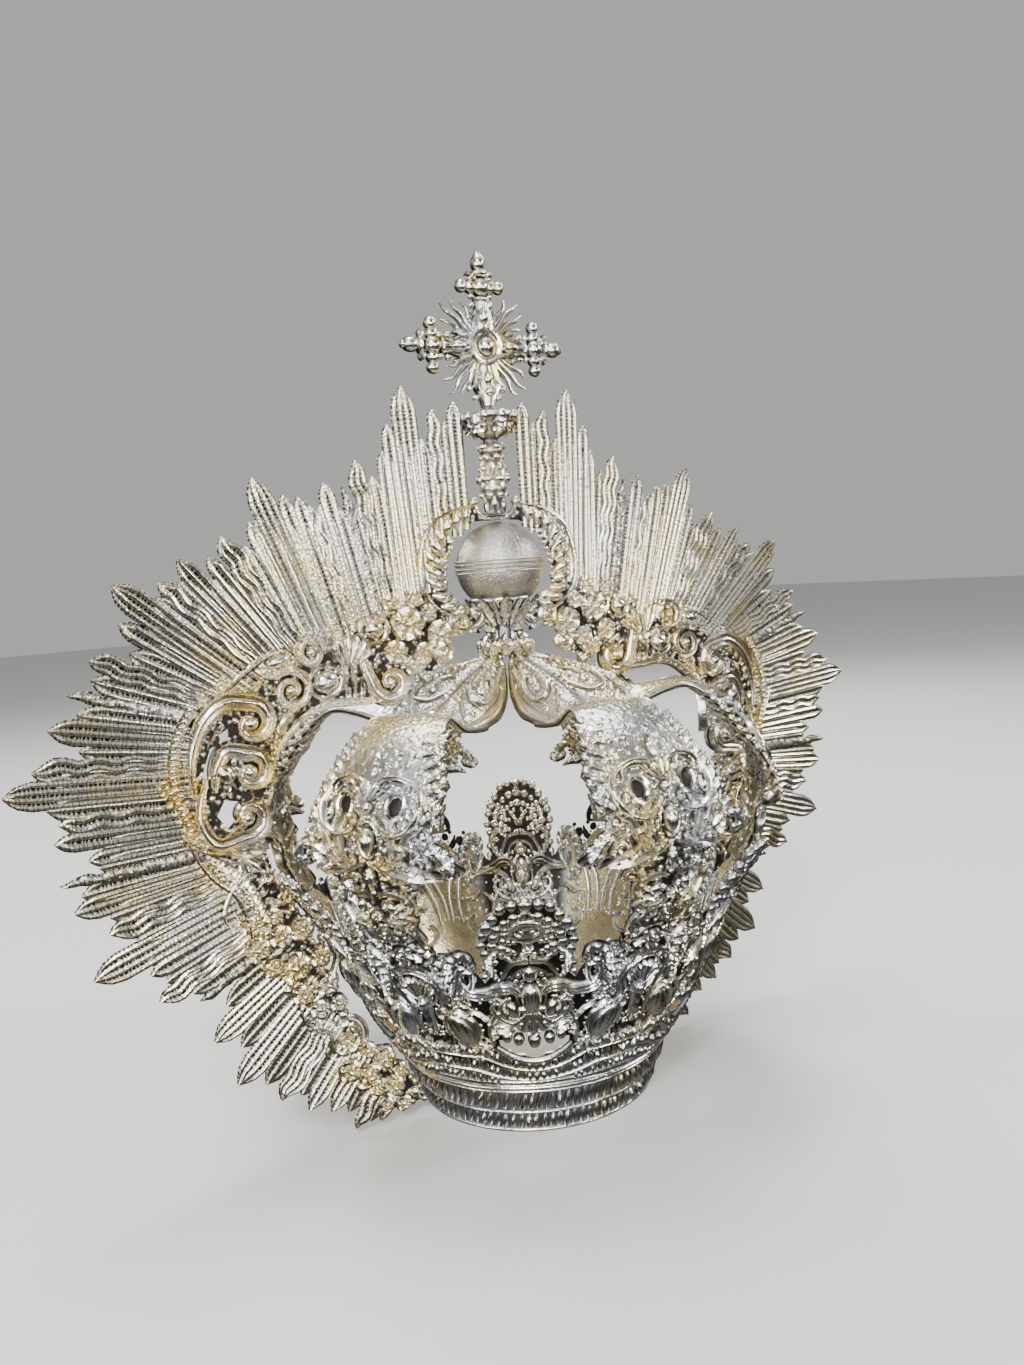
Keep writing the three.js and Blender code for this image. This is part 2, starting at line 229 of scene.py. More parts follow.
# %% The silver itself
def silver(name, polish=0.2, tarnish_and_warm_reflection=0.5, hollows=(0.1, 0.75), grain=0.25, colour=WHITE_SILVER, dots=0.0,
           knobs=0.0):
    """Silver that is polished on its ridges and painted dark below them: partly patina, partly painted shade.

    Hollows are two values of rise: painted black below the first, clean above the second. Knobs are the
    ground of repousse work, round bumps with painted shade in their seams. Dots are the punched rows along a
    ray, painted light on the dots and painted shade between them.
    """
    material = bpy.data.materials.new(name)
    material.use_nodes = True
    tree = material.node_tree
    tree.nodes.clear()
    start = Wire(tree, None)
    place = start.node("ShaderNodeTexCoord", output="Object")
    rise = start.node("ShaderNodeAttribute", {"attribute_name": "rise"}, output="Fac")

    patches = place.noise(PATCHES, 3.0).ramp(0.40, 0.58)
    streaks = place.noise(STREAKS, 3.0).ramp(0.36, 0.62)
    clouds = place.noise(CLOUDS, 4.0)
    fine = place.noise(SCRATCHES, 2.0)

    height = fine * 0.5 + place.noise(HAMMERING, 2.0)
    if knobs:
        cells = place.node("ShaderNodeTexVoronoi", {"feature": "SMOOTH_F1"}, {
            "Vector": place, "Scale": 1 / KNOB_PITCH / MM, "Smoothness": 0.35,
        })
        # The seams between knobs take a low rise, so they are painted with shade.
        knob = 1 - cells.ramp(0.12, 0.62)
        rise = rise * (1 - knobs) + knob * knobs
        height = height + knob * 3 * knobs
    # Painted shade: where rise is low the colour goes to the dark of the hollows, which is partly patina.
    hollow = 1 - (rise + 0.4 * (fine - 0.5)).ramp(*hollows)
    # Warm patches: partly tarnish, partly a painted reflection of warm lamps.
    tarnish_and_reflection = (patches * streaks * 0.6 + patches * 0.35) * tarnish_and_warm_reflection * (1 - hollow)
    shade = tarnish_and_reflection.mix_colour(colour, WARM_REFLECTION_AND_TARNISH)
    shade = hollow.mix_colour(shade, PATINA_AND_SHADE)
    rough = clouds * 0.18 + hollow * 0.28 + (polish - 0.09)
    if dots:
        along = start.node("ShaderNodeAttribute", {"attribute_name": "along"}, output="Fac")
        wave = (along * (2 * math.pi / DOT_PITCH) + place.noise(WANDERING, 1.0) * UNEVEN_DOTS).sine()
        groove = 1 - rise.ramp(0.1, 0.6)
        height = height + wave * groove * dots
        # Painted light and shade along the rays: the dots in the grooves are painted clean and bright, and
        # the rays are painted dark between their dots.
        shade = (wave.ramp(0.2, 0.9) * groove * 0.7).mix_colour(shade, colour)
        shade = ((1 - wave.ramp(-0.9, -0.1)) * SHADE_BETWEEN_DOTS).mix_colour(shade, PATINA_AND_SHADE)

    bump = start.node("ShaderNodeBump", None, {
        "Strength": grain, "Distance": BUMP_DEPTH * MM, "Height": height,
    })
    shader = start.node("ShaderNodeBsdfPrincipled", None, {
        "Base Color": shade, "Metallic": 1.0, "Roughness": rough, "Normal": bump,
    })
    start.node("ShaderNodeOutputMaterial", None, {"Surface": shader})
    return material

# %% The crown's finishes
RAY_SILVER = silver("ray_silver", polish=0.24, tarnish_and_warm_reflection=1.0, hollows=(0.32, 0.82), grain=0.35, colour=GILT_AND_WARM_REFLECTION,
                    dots=0.8)
SCROLL_SILVER = silver("scroll_silver", polish=0.18, tarnish_and_warm_reflection=1.0, hollows=(0.04, 0.5), grain=0.3, colour=GILT_AND_WARM_REFLECTION)
BASKET_SILVER = silver("basket_silver", polish=0.17, tarnish_and_warm_reflection=0.6, grain=0.3)
ARCH_SILVER = silver("arch_silver", polish=0.18, tarnish_and_warm_reflection=0.9, grain=0.3)
GROUND_SILVER = silver("ground_silver", polish=0.2, tarnish_and_warm_reflection=0.7, hollows=(0.15, 0.6), grain=0.9, knobs=0.7)
PANEL_SILVER = silver("panel_silver", polish=0.15, tarnish_and_warm_reflection=0.95, hollows=(0.12, 0.6), grain=0.7, knobs=0.3)
INSIDE_SILVER = silver("inside_silver", polish=0.26, tarnish_and_warm_reflection=1.0, hollows=(-0.1, 0.6), grain=0.2,
                       colour=OLD_GOLD_AND_WARM_REFLECTION)
EYE_PAINTED_SHADE = silver("eye_painted_shade_silver", tarnish_and_warm_reflection=0.0, hollows=(2.0, 3.0))    # painted black all over, as the shade in a deep hollow
GLOBE_SILVER = silver("globe_silver", polish=0.24, tarnish_and_warm_reflection=0.5, hollows=(0.40, 0.72), grain=0.9,
                      colour=DULL_SILVER)
CAST_SILVER = silver("cast_silver", polish=0.18, tarnish_and_warm_reflection=1.0, grain=0.3)
print("silvers:", [m.name for m in bpy.data.materials if m.name.endswith("_silver")])

# %% [markdown]
# ## The chaser's bench
# Chased ornament is worked flat and then bent to the crown's form, and it is built the same way here. A
# `Bench` is a flat sheet in millimetres: u to the right, v upwards, and h out of the sheet. Strokes, leaves,
# shells, rosettes and beads are laid on it, each a small closed solid with one face rounded, or with both
# where both sides show. The left half is a mirror of the right. Then every point is carried onto a surface
# of the crown, along its normal. Blender's own primitives and modifiers make the walls, rings and turned
# pieces further on, but they can't give thousands of tapering, ribbed strokes that lie on curved sheet.

# %% Lines on the bench
def even(line, step):
    """The same line with evenly spaced points."""
    legs = np.linalg.norm(np.diff(line[:, :2], axis=0), axis=1)
    lengths = np.r_[0, np.cumsum(legs)]
    count = max(int(round(lengths[-1] / step)), 3) + 1
    at = np.linspace(0, lengths[-1], count)
    return np.stack([np.interp(at, lengths, column) for column in line.T], 1)


def through(points, step=1.4):
    """A smooth line through a few points."""
    points = np.asarray(points, float)
    if len(points) == 2:
        return even(points, step)
    ends = np.vstack([2 * points[0] - points[1], points, 2 * points[-1] - points[-2]])
    t = np.linspace(0, 1, 16, endpoint=False)[:, None]
    parts = []
    for a, b, c, d in zip(ends, ends[1:], ends[2:], ends[3:]):
        bend = (2 * a - 5 * b + 4 * c - d) * t**2 + (3 * b - a - 3 * c + d) * t**3
        parts.append(0.5 * (2 * b + (c - a) * t + bend))
    return even(np.vstack(parts + [points[-1:]]), step)


# How fast a scroll turns, in degrees for its whole length, read at even places along it.
WINDS = {
    "C": (1500, 900, 210, 130, 130, 210, 900, 1500),
    "S": (1500, 800, 180, 60, -60, -180, -800, -1500),
    "curl": (20, 40, 90, 170, 380, 900, 1700),
    "hook": (60, 90, 140, 230, 420, 800),
    "bow": (150, 150),
    "volute": (90, 160, 330, 620, 1200, 2200),
}


def scroll(start, end, winds="C", way=1, step=1.3):
    """A scrolling line between two points; way -1 turns it clockwise."""
    s = np.linspace(0, 1, 240)
    turning = np.radians(np.interp(s, np.linspace(0, 1, len(WINDS[winds])), WINDS[winds]))
    heading = way * np.cumsum(turning) / len(s)
    raw = np.cumsum(np.exp(1j * heading))
    raw -= raw[0]
    start, end = complex(*start), complex(*end)
    laid = start + raw * (end - start) / raw[-1]
    return even(np.stack([laid.real, laid.imag], 1), step)


def spiral(lead, centre, radius, turns, start, way):
    """A line that comes in through some points and winds up about a centre, from an angle in degrees."""
    t = np.linspace(0, 1, 60)
    angle = math.radians(start) + way * 2 * math.pi * turns * t
    r = radius * (1 - 0.78 * t)
    wound = np.stack([centre[0] + r * np.cos(angle), centre[1] + r * np.sin(angle)], 1)
    return even(np.vstack([through([*lead, wound[0]])[:-1], wound]), 1.5)


def spread(values, s):
    """A few values, read evenly along a stroke."""
    values = np.atleast_1d(np.asarray(values, float))
    return np.interp(s, np.linspace(0, 1, len(values)), values)


print("a scroll of 20 mm has", len(scroll((0, 0), (20, 0))), "points")

# %% Sections of a stroke
# Each says how high a stroke stands, from 0 to 1, at s along it (0 to 1) and t across it (-1 to 1); the same
# value sets its painted shade, dark where it is low. All take the same four values, because any of them can
# be chosen by name; the plain ones need only t.
def round_back(s, t, ribs, lean):
    return np.sqrt(np.clip(1 - t**2, 0, 1))


def roped(s, t, ribs, lean):
    """Slanting strands, as on a rope or a gadroon."""
    return round_back(s, t, 0, 0) * (0.68 + 0.32 * np.cos(2 * np.pi * (ribs * s + lean * t)))


def rimmed(s, t, ribs, lean):
    """A hollow middle between two raised edges."""
    return np.interp(np.abs(t), [0, 0.4, 0.62, 0.78, 0.9, 1], [0.34, 0.4, 0.7, 1, 0.85, 0])


def crowned(s, t, ribs, lean):
    """A full round middle between two fine raised edges."""
    return np.interp(np.abs(t), [0, 0.25, 0.5, 0.62, 0.8, 0.92, 1], [0.9, 0.82, 0.5, 0.45, 0.95, 0.8, 0])


def feathered(s, t, ribs, lean):
    """A leaf: a sharp midrib with veins that slant back from it."""
    crown = np.clip(1 - np.abs(t) ** 2.2, 0, 1) ** 0.6
    veins = 0.66 + 0.34 * np.cos(2 * np.pi * (ribs * s - lean * np.abs(t) * 2))
    midrib = np.clip(1 - 5 * np.abs(t), 0, 1)
    return crown * np.maximum(veins, midrib)


def ridged(s, t, ribs, lean):
    """Ridges side by side along the stroke, meeting in one roof at its point."""
    many = np.abs(np.sin(np.pi * ribs * (t + 1) / 2)) ** 1.1
    roof = 1 - np.abs(t) ** 1.3
    tip = np.clip((s - lean) / (1 - lean + 1e-6), 0, 1)
    return np.where(np.abs(t) > 0.999, 0, 0.08 + 0.92 * (many * (1 - tip) + roof * tip))


FORMS = {
    "round": round_back, "rope": roped, "rim": rimmed, "crown": crowned, "leaf": feathered, "ridge": ridged,
}
print("sections:", *FORMS)

# %% The bench itself
WIRE_SIDES = 7
SMALLEST_BEAD = 1.6     # mm, the radius below which a grain with fewer faces will do
HEART = 0.34            # how much of a rosette's radius its middle bead takes


class Bench:
    """Work laid flat: `both` gives every stroke the same relief on its back."""

    def __init__(self, both=False):
        self.both = both
        self.points, self.rises, self.alongs, self.quads, self.tris = [], [], [], [], []
        self.count = 0

    def lay(self, points, rise, along, quads, tris):
        """Adds points, each with its depth and its length along a stroke, and the faces between them."""
        self.points.append(points)
        self.rises.append(rise)
        self.alongs.append(along)
        if len(quads):
            self.quads.append(np.asarray(quads).reshape(-1, 4) + self.count)
        if len(tris):
            self.tris.append(np.asarray(tris).reshape(-1, 3) + self.count)
        self.count += len(points)

    def sheet(self, u, v, h, rise, along, mid):
        """A closed solid from rows of points: a flat back, or the front again if both sides show."""
        rows, cols = u.shape
        last = cols - 1
        grid = np.arange(rows * cols).reshape(rows, cols)
        points = np.stack([u, v, h], 2).reshape(-1, 3)
        rise, along = rise.ravel(), along.ravel()
        a, b, c, d = grid[:-1, :-1], grid[:-1, 1:], grid[1:, 1:], grid[1:, :-1]
        quads = [np.stack([a, b, c, d], 2).reshape(-1, 4)]
        tris = []
        if self.both:
            under = grid.copy()
            under[:, 1:last] = rows * cols + np.arange(rows * (cols - 2)).reshape(rows, cols - 2)
            inner = np.stack([u, v, 2 * mid - h], 2)[:, 1:last].reshape(-1, 3)
            points = np.vstack([points, inner])
            rise = np.r_[rise, rise.reshape(rows, cols)[:, 1:last].ravel()]
            along = np.r_[along, along.reshape(rows, cols)[:, 1:last].ravel()]
            a, b, c, d = under[:-1, :-1], under[:-1, 1:], under[1:, 1:], under[1:, :-1]
            quads.append(np.stack([d, c, b, a], 2).reshape(-1, 4))
            for row, way in ((0, 1), (rows - 1, -1)):
                top, low = grid[row], under[row]
                tris += [(top[1], top[0], low[1])[::way], (top[last], top[last - 1], low[last - 1])[::way]]
                ring = [(top[j + 1], top[j], low[j], low[j + 1])[::way] for j in range(1, last - 1)]
                quads.append(np.array(ring).reshape(-1, 4))
        else:
            left, right = grid[:, 0], grid[:, last]
            quads.append(np.stack([left[:-1], left[1:], right[1:], right[:-1]], 1))
            tris += [(grid[0, last], grid[0, k], grid[0, k - 1]) for k in range(last - 1, 0, -1)]
            tris += [(grid[-1, 0], grid[-1, k], grid[-1, k + 1]) for k in range(1, last)]
        self.lay(points, rise, along, np.vstack(quads), tris)

    def strip(self, line, half, high, form="round", ribs=0, lean=0.35, across=5, lobes=0, sink=0.5):
        """One chased stroke, whose half width and height may change along its line.

        Ribs and lean shape its section, lobes cut its edges into leaves, and sink buries its back.
        """
        lengths = np.r_[0, np.cumsum(np.linalg.norm(np.diff(line[:, :2], axis=0), axis=1))]
        s = lengths / lengths[-1]
        half, high = spread(half, s), spread(high, s)
        if lobes:
            half = half * (1 - 0.32 * (0.5 + 0.5 * np.cos(2 * np.pi * lobes * s)))
        lift = line[:, 2] if line.shape[1] > 2 else np.zeros(len(line))
        tangent = np.gradient(line[:, :2], s, axis=0)
        tangent /= np.linalg.norm(tangent, axis=1)[:, None] + 1e-9
        right = np.stack([tangent[:, 1], -tangent[:, 0]], 1)
        S, T = np.meshgrid(s, np.linspace(-1, 1, across), indexing="ij")
        rise = FORMS[form](S, T, ribs, lean)
        sink = 0 if self.both else sink
        h = lift[:, None] + (high[:, None] + sink) * rise - sink
        u = line[:, 0, None] + right[:, 0, None] * T * half[:, None]
        v = line[:, 1, None] + right[:, 1, None] * T * half[:, None]
        along = np.repeat(lengths[:, None], across, 1)
        self.sheet(u, v, h, rise, along, lift[:, None])

    def chase(self, points, *shape, **cut):
        """A stroke along a smooth line through a few points."""
        self.strip(through(points), *shape, **cut)

    def shell(self, at, aim, reach, spread_deg, ribs, high):
        """A fan of ribs with a scalloped edge."""
        s = np.linspace(0, 1, 9)
        t = np.linspace(-1, 1, ribs * 4 + 1)
        S, T = np.meshgrid(s, t, indexing="ij")
        lobes = np.abs(np.sin(np.pi * ribs * (T + 1) / 2))
        far = reach * (0.82 + 0.18 * np.cos(T * np.pi / 2)) * (0.9 + 0.1 * lobes)
        radius = far * (0.12 + 0.88 * S)
        angle = np.radians(aim - T * spread_deg / 2)
        crown = np.interp(S, [0, 0.12, 0.8, 0.93, 1], [0.2, 0.7, 1, 0.9, 0])
        rise = np.where(np.abs(T) > 0.999, 0, crown * (0.35 + 0.65 * lobes**0.7))
        sink = 0 if self.both else 0.4
        h = (high + sink) * rise - sink
        u = at[0] + radius * np.cos(angle)
        v = at[1] + radius * np.sin(angle)
        self.sheet(u, v, h, rise, radius, np.zeros_like(h))

    def disc(self, at, rx, ry=None, high=2.0, petals=0, turn=0.0, rings=5, around=20):
        """A round boss, or with petals a rosette around a bead."""
        ry = ry or rx
        rho = np.linspace(0, 1, rings + 1)[1:]
        theta = np.linspace(0, 2 * np.pi, around, endpoint=False)
        R, A = np.meshgrid(rho, theta, indexing="ij")
        if petals:
            fold = np.abs(np.cos(petals * A / 2)) ** 0.8
            bead = np.sqrt(np.clip(1 - (R / HEART) ** 2, 0, 1))
            petal = np.sin(np.pi * np.clip((R - HEART) / (1 - HEART), 0, 1)) ** 0.6 * (0.35 + 0.55 * fold)
            rise = np.where(R < HEART, bead, petal)
            R = R * np.where(R > 0.9, 0.82 + 0.18 * fold, 1)
        else:
            rise = np.sqrt(np.clip(1 - R**2, 0, 1))
        rise[-1] = 0
        sink = 0 if self.both else 0.5
        c, s = math.cos(math.radians(turn)), math.sin(math.radians(turn))
        x, y = R * rx * np.cos(A), R * ry * np.sin(A)
        top = np.stack([at[0] + x * c - y * s, at[1] + x * s + y * c, (high + sink) * rise - sink], 2)
        tip = [[at[0], at[1], high]]
        low = [[at[0], at[1], -high if self.both else -sink]]
        ring = np.arange(rings * around).reshape(rings, around)
        turned = np.roll(ring, -1, axis=1)
        middle, under = rings * around, rings * around + 1
        points = [top.reshape(-1, 3), tip, low]
        quads = [np.stack([ring[:-1], ring[1:], turned[1:], turned[:-1]], 2).reshape(-1, 4)]
        fan = [(middle, a, b) for a, b in zip(ring[0], turned[0])]
        outer = ring[-1]
        if self.both:
            back = top[:-1] * (1, 1, -1)
            points.append(back.reshape(-1, 3))
            low_ring = np.vstack([under + 1 + ring[:-1], ring[-1:]])
            low_turned = np.roll(low_ring, -1, axis=1)
            strip = [low_ring[:-1], low_turned[:-1], low_turned[1:], low_ring[1:]]
            quads.append(np.stack(strip, 2).reshape(-1, 4))
            fan += [(under, b, a) for a, b in zip(low_ring[0], low_turned[0])]
            rises = np.r_[rise.ravel(), 1, 1, rise[:-1].ravel()]
        else:
            fan += [(under, b, a) for a, b in zip(outer, np.roll(outer, -1))]
            rises = np.r_[rise.ravel(), 1, 0]
        points = np.vstack(points)
        self.lay(points, rises, np.zeros(len(points)), np.vstack(quads), fan)

    def ring(self, at, r, wire, ry=None, around=24, lift=0.0, turn=0.0):
        """A round wire bent to a circle or an oval."""
        ry = ry or r
        theta = np.linspace(0, 2 * np.pi, around, endpoint=False)
        phi = np.linspace(0, 2 * np.pi, WIRE_SIDES, endpoint=False)
        A, B = np.meshgrid(theta, phi, indexing="ij")
        c, s = math.cos(math.radians(turn)), math.sin(math.radians(turn))
        x = (r + wire * np.cos(B)) * np.cos(A)
        y = (ry + wire * np.cos(B)) * np.sin(A)
        points = np.stack([at[0] + x * c - y * s, at[1] + x * s + y * c, lift + wire * np.sin(B)], 2)
        grid = np.arange(around * WIRE_SIDES).reshape(around, WIRE_SIDES)
        a, b = grid, np.roll(grid, -1, axis=0)
        quads = np.stack([a, b, np.roll(b, -1, axis=1), np.roll(a, -1, axis=1)], 2).reshape(-1, 4)
        # The wire is painted with shade on its underside and clean on top.
        rise = 0.5 + 0.5 * np.sin(B).ravel()
        if self.both:
            rise = np.full(rise.shape, 0.9)
        self.lay(points.reshape(-1, 3), rise, np.zeros(points.size // 3), quads, [])

    def grains(self, places, sizes, blank, lift=0.0):
        """Copies of one small blank, such as a bead, at places (u, v) or (u, v, h)."""
        places = np.asarray(places, float)
        sizes = np.broadcast_to(np.asarray(sizes, float), (len(places),))
        points, faces = blank
        if places.shape[1] == 2:
            places = np.column_stack([places, np.full(len(places), lift)])
        laid = points[None] * sizes[:, None, None] + places[:, None]
        starts = np.arange(len(places)) * len(points)
        # A grain is painted with shade at its foot, where it meets the ground.
        rise = np.clip(0.45 + 0.55 * points[:, 2], 0, 1)
        if self.both:
            rise = np.clip(0.3 + 0.7 * np.abs(points[:, 2]), 0, 1)
        laid = laid.reshape(-1, 3)
        tris = (faces[None] + starts[:, None, None]).reshape(-1, 3)
        self.lay(laid, np.tile(rise, len(places)), np.zeros(len(laid)), [], tris)

    def beads(self, line, radius, pitch, lift=0.0):
        """A row of beads along a line."""
        blank = BEAD if radius > SMALLEST_BEAD else GRAIN
        self.grains(even(np.asarray(line, float)[:, :2], pitch), radius, blank, lift)

    def mirror(self):
        """Lays the left half: the right half turned over about u = 0."""
        points = np.vstack(self.points) * (-1, 1, 1)
        quads, tris = np.vstack(self.quads)[:, ::-1], np.vstack(self.tris)[:, ::-1]
        self.lay(points, np.concatenate(self.rises), np.concatenate(self.alongs), quads, tris)

    def make(self, name, surface, material, angle=50, sunk=0.0):
        """The bench's work bent onto a surface of the crown: surface(u, v) gives points in mm."""
        flat = np.vstack(self.points)
        u, v, h = flat.T
        h = h - sunk
        nudge = 0.05
        at = surface(u, v)
        right = surface(u + nudge, v) - at
        up = surface(u, v + nudge) - at
        normal = np.cross(right, up)
        normal /= np.linalg.norm(normal, axis=1)[:, None] + 1e-12
        bent = (at + normal * h[:, None]) * MM
        faces = np.vstack(self.quads).tolist() + np.vstack(self.tris).tolist()
        mesh = bpy.data.meshes.new(name)
        mesh.from_pydata(bent.tolist(), [], faces)
        for attribute, values in (("rise", self.rises), ("along", self.alongs)):
            layer = mesh.attributes.new(attribute, "FLOAT", "POINT")
            layer.data.foreach_set("value", np.concatenate(values).astype(np.float32))
        obj = bpy.data.objects.new(name, mesh)
        bpy.context.collection.objects.link(obj)
        obj.data.materials.append(material)
        smooth_by_angle(obj, angle)
        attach(obj, "root")
        print(f"{name}: {len(faces)} faces")
        return obj

# %% Blanks that are modelled once and copied
def round_blank(name, subdivisions):
    """The points and faces of a ball of radius 1."""
    deselect()
    bpy.ops.mesh.primitive_ico_sphere_add(subdivisions=subdivisions, radius=1)
    ball = added(name)
    blank = (points_of(ball), np.array([tuple(face.vertices) for face in ball.data.polygons]))
    bpy.data.objects.remove(ball)
    return blank


def drawn_out(blank, wide, tall, high):
    """The same blank, stretched along u, v and h."""
    points, faces = blank
    return points * (wide, tall, high), faces


BEAD = round_blank("bead_blank", 2)
GRAIN = round_blank("grain_blank", 1)
print("blanks:", len(BEAD[1]), "and", len(GRAIN[1]), "faces")

# %% [markdown]
# ## The halo's rays
# The rays are thin sheet, chased in long ridges with beaded grooves, and cut to points. Each is a tapering
# strip with one to four ridges that meet in a roof at its tip. Both faces are the same, because the halo is
# seen from behind too. Some rays are wavy flames and a few are twisted, as on the real halo.

# %% Where the rays stand
# Right half, from the top round to the base: tip and root as (x, z) in mm, width at the root, and kind.
RAYS = [
    ((20, 354), (19, 298), 9, "blade"), ((32, 350), (30, 292), 8, "flame"),
    ((47.9, 361), (43, 268), 14, "blade"), ((57, 342.7), (51, 262), 8, "blade"),
    ((60.5, 330), (57, 260), 7, "blade"), ((75.2, 326), (63, 260), 10, "flame"),
    ((82, 314), (71, 258), 9, "twist"), ((91.8, 316), (78, 256), 9, "blade"),
    ((99.5, 306), (84, 253), 8, "flame"), ((105, 310), (89, 249), 8, "blade"),
    ((112, 311), (93, 247), 8, "blade"), ((125.5, 319), (99, 244), 13, "blade"),
    ((128.5, 299), (105, 242), 8, "blade"), ((142.2, 293.7), (111, 240), 11, "flame"),
    ((148.8, 284.7), (117, 239), 8, "blade"), ((162, 284.4), (124, 237), 10, "blade"),
    ((171, 275), (131, 234), 9, "flame"), ((190.6, 275), (138, 229), 13, "blade"),
    ((189.2, 258.6), (144, 225), 9, "blade"), ((202.8, 244.5), (151, 220), 10, "flame"),
    ((213.6, 231.3), (159, 214), 9, "twist"), ((222, 217), (165, 205), 12, "blade"),
    ((230, 200.2), (170, 195), 11, "flame"), ((242.1, 191.5), (172, 186), 13, "blade"),
    ((222, 176.5), (171, 174), 9, "flame"), ((224.5, 168.9), (170, 167), 9, "blade"),
    ((212, 159.5), (168, 161), 8, "blade"), ((224.1, 151), (166, 153), 9, "twist"),
    ((219.9, 138.1), (163, 145), 11, "blade"), ((207, 126), (156, 137), 11, "flame"),
    ((215.1, 107.3), (151, 128), 14, "blade"), ((192, 104), (147, 119), 9, "blade"),
    ((189.2, 90.9), (143, 112), 10, "flame"), ((171.7, 86.6), (141, 102), 8, "twist"),
    ((167.4, 66.1), (130, 90), 13, "blade"), ((159, 43.3), (122, 76), 14, "blade"),
    ((139.4, 29.6), (114, 58), 13, "flame"), ((126.6, 20.6), (107, 44), 11, "blade"),
    ((115.5, 15.9), (101, 33), 10, "blade"), ((104, 4), (93, 20), 9, "flame"),
    ((91, 3.5), (84, 14), 8, "blade"),
]
RIDGE_PITCH = 3.6
RAY_TUCK = 7.0                      # how far a ray runs in behind the band
GAP_RAYS = (0.86, 0.74, 0.8, 0.9)   # how far the rays behind the gaps reach, in turn
SWAY = {"blade": 0.0, "flame": 0.9, "twist": 0.5}
print(len(RAYS), "rays on each side")

# %% One ray
def ray_line(tip, root, kind, shoulder):
    """The ray's middle line, with few stations where it is straight."""
    along = (tip - root) / np.linalg.norm(tip - root)
    side = np.array([along[1], -along[0]])
    start = root - along * RAY_TUCK
    length = np.linalg.norm(tip - start)
    if kind == "blade":
        s = np.r_[np.linspace(0, shoulder, 6), np.linspace(shoulder, 1, 5)[1:]]
    else:
        s = np.linspace(0, 1, int(length / 2.4) + 1)
    wave = SWAY[kind] * np.sin(2 * np.pi * s * length / 15) * np.interp(s, [0, 0.45, 0.9, 1], [0, 1, 1, 0.2])
    return start + along * (s * length)[:, None] + side * wave[:, None], length


def lay_ray(bench, tip, root, width, kind, lift, high):
    """A ray of parallel ridges, or a twisted one."""
    tip, root = np.array(tip, float), np.array(root, float)
    shoulder = 1 - width * 0.85 / (np.linalg.norm(tip - root) + RAY_TUCK)
    line, length = ray_line(tip, root, kind, shoulder)
    line = np.column_stack([line, np.full(len(line), lift)])
    s = np.linspace(0, 1, 100)
    if kind == "twist":
        pinch = 1 - 0.35 * np.abs(np.sin(np.pi * length / 9 * s)) * np.clip((s - 0.3) * 3, 0, 1)
        half = width * 0.46 * pinch * np.interp(s, [0, 0.9, 1], [1, 0.75, 0.05])
        bench.strip(line, half, high + 0.4, "rope", ribs=length / 4.5, lean=0.6, across=9)
        return
    ridges = max(1, round(width / RIDGE_PITCH))
    half = np.interp(s, [0, shoulder, 0.4 * shoulder + 0.6, 1], [0.84, 1, 0.74, 0.08]) * width / 2
    bench.strip(line, half, high, "ridge", ribs=ridges, lean=shoulder, across=4 * ridges + 1)


def ray_between(one, two, share):
    """A shorter ray that fills the gap behind two neighbours."""
    tips, roots = np.array([one[0], two[0]], float), np.array([one[1], two[1]], float)
    root = roots.mean(0)
    tip = root + (tips.mean(0) - root) * share
    gap = np.linalg.norm(roots[1] + (tips[1] - roots[1]) * share - roots[0] - (tips[0] - roots[0]) * share)
    return tip, root, min(max(gap * 0.95, 5), 12)


print("kinds of ray:", *SWAY)

# %% Both halves of the rays
rays = Bench(both=True)
for number, (tip, root, width, kind) in enumerate(RAYS):
    lay_ray(rays, tip, root, width, kind, lift=0.35 * (number % 2) - 0.15, high=1.55)
for number, (one, two) in enumerate(zip(RAYS, RAYS[1:])):
    tip, root, width = ray_between(one, two, GAP_RAYS[number % len(GAP_RAYS)])
    lay_ray(rays, tip, root, width, "blade", lift=0.05, high=0.95)
rays.mirror()


def halo_plane(x, z):
    return np.stack([x, np.zeros_like(x), z], 1)


halo_rays = rays.make("halo_rays", halo_plane, RAY_SILVER, angle=35)

# %% [markdown]
# ## The halo's band
# The band is an openwork hoop of scrolls, shells and rosettes. A thin plate, painted dark as the shade
# between the ornament and a little smaller than the band, holds it together, and one bench lays the ornament
# on both of its faces.

# %% The backing plate
BAND_OUTER = [
    (-1, 297.6), (5.5, 297.6), (9, 300), (12, 303.5), (18, 301), (31, 297), (42, 286), (46, 268), (60, 260),
    (80, 256), (95, 245), (116, 240), (130, 237), (141, 227), (152, 219), (164, 212), (171, 202), (175, 188),
    (174, 172), (171, 157), (164, 142), (154, 130), (147, 116), (143, 100), (132, 88), (123, 76), (116, 61),
    (110, 46), (102, 31), (95, 17), (87, 8),
]
BAND_INNER = [
    (66.5, 7.5), (69, 15), (76, 25), (86, 36), (98, 47), (104, 60), (110, 71), (114, 84), (114, 95),
    (120, 108), (126, 124), (132, 136), (136, 150), (137, 160), (133, 172), (132, 185), (124, 199),
    (114, 208), (99, 214), (80, 216), (63, 216), (58, 228), (48, 220), (39, 225), (32, 238), (20, 242),
    (14.5, 247), (27, 251), (32, 262), (31, 276), (24, 290), (13, 294.8), (6, 295.2), (-1, 295.2),
]
# The pierced places between the volutes.
BAND_HOLES = [
    [(147, 208), (151.5, 205.5), (151, 199.5), (148, 200.5)],
    [(152, 201), (156, 200), (160, 190), (163.5, 180), (161, 178), (157, 185), (154, 194)],
    [(145, 174), (152, 175.5), (156, 169), (151.5, 162.5), (147.5, 166), (148, 171)],
]
PLATE = 1.1


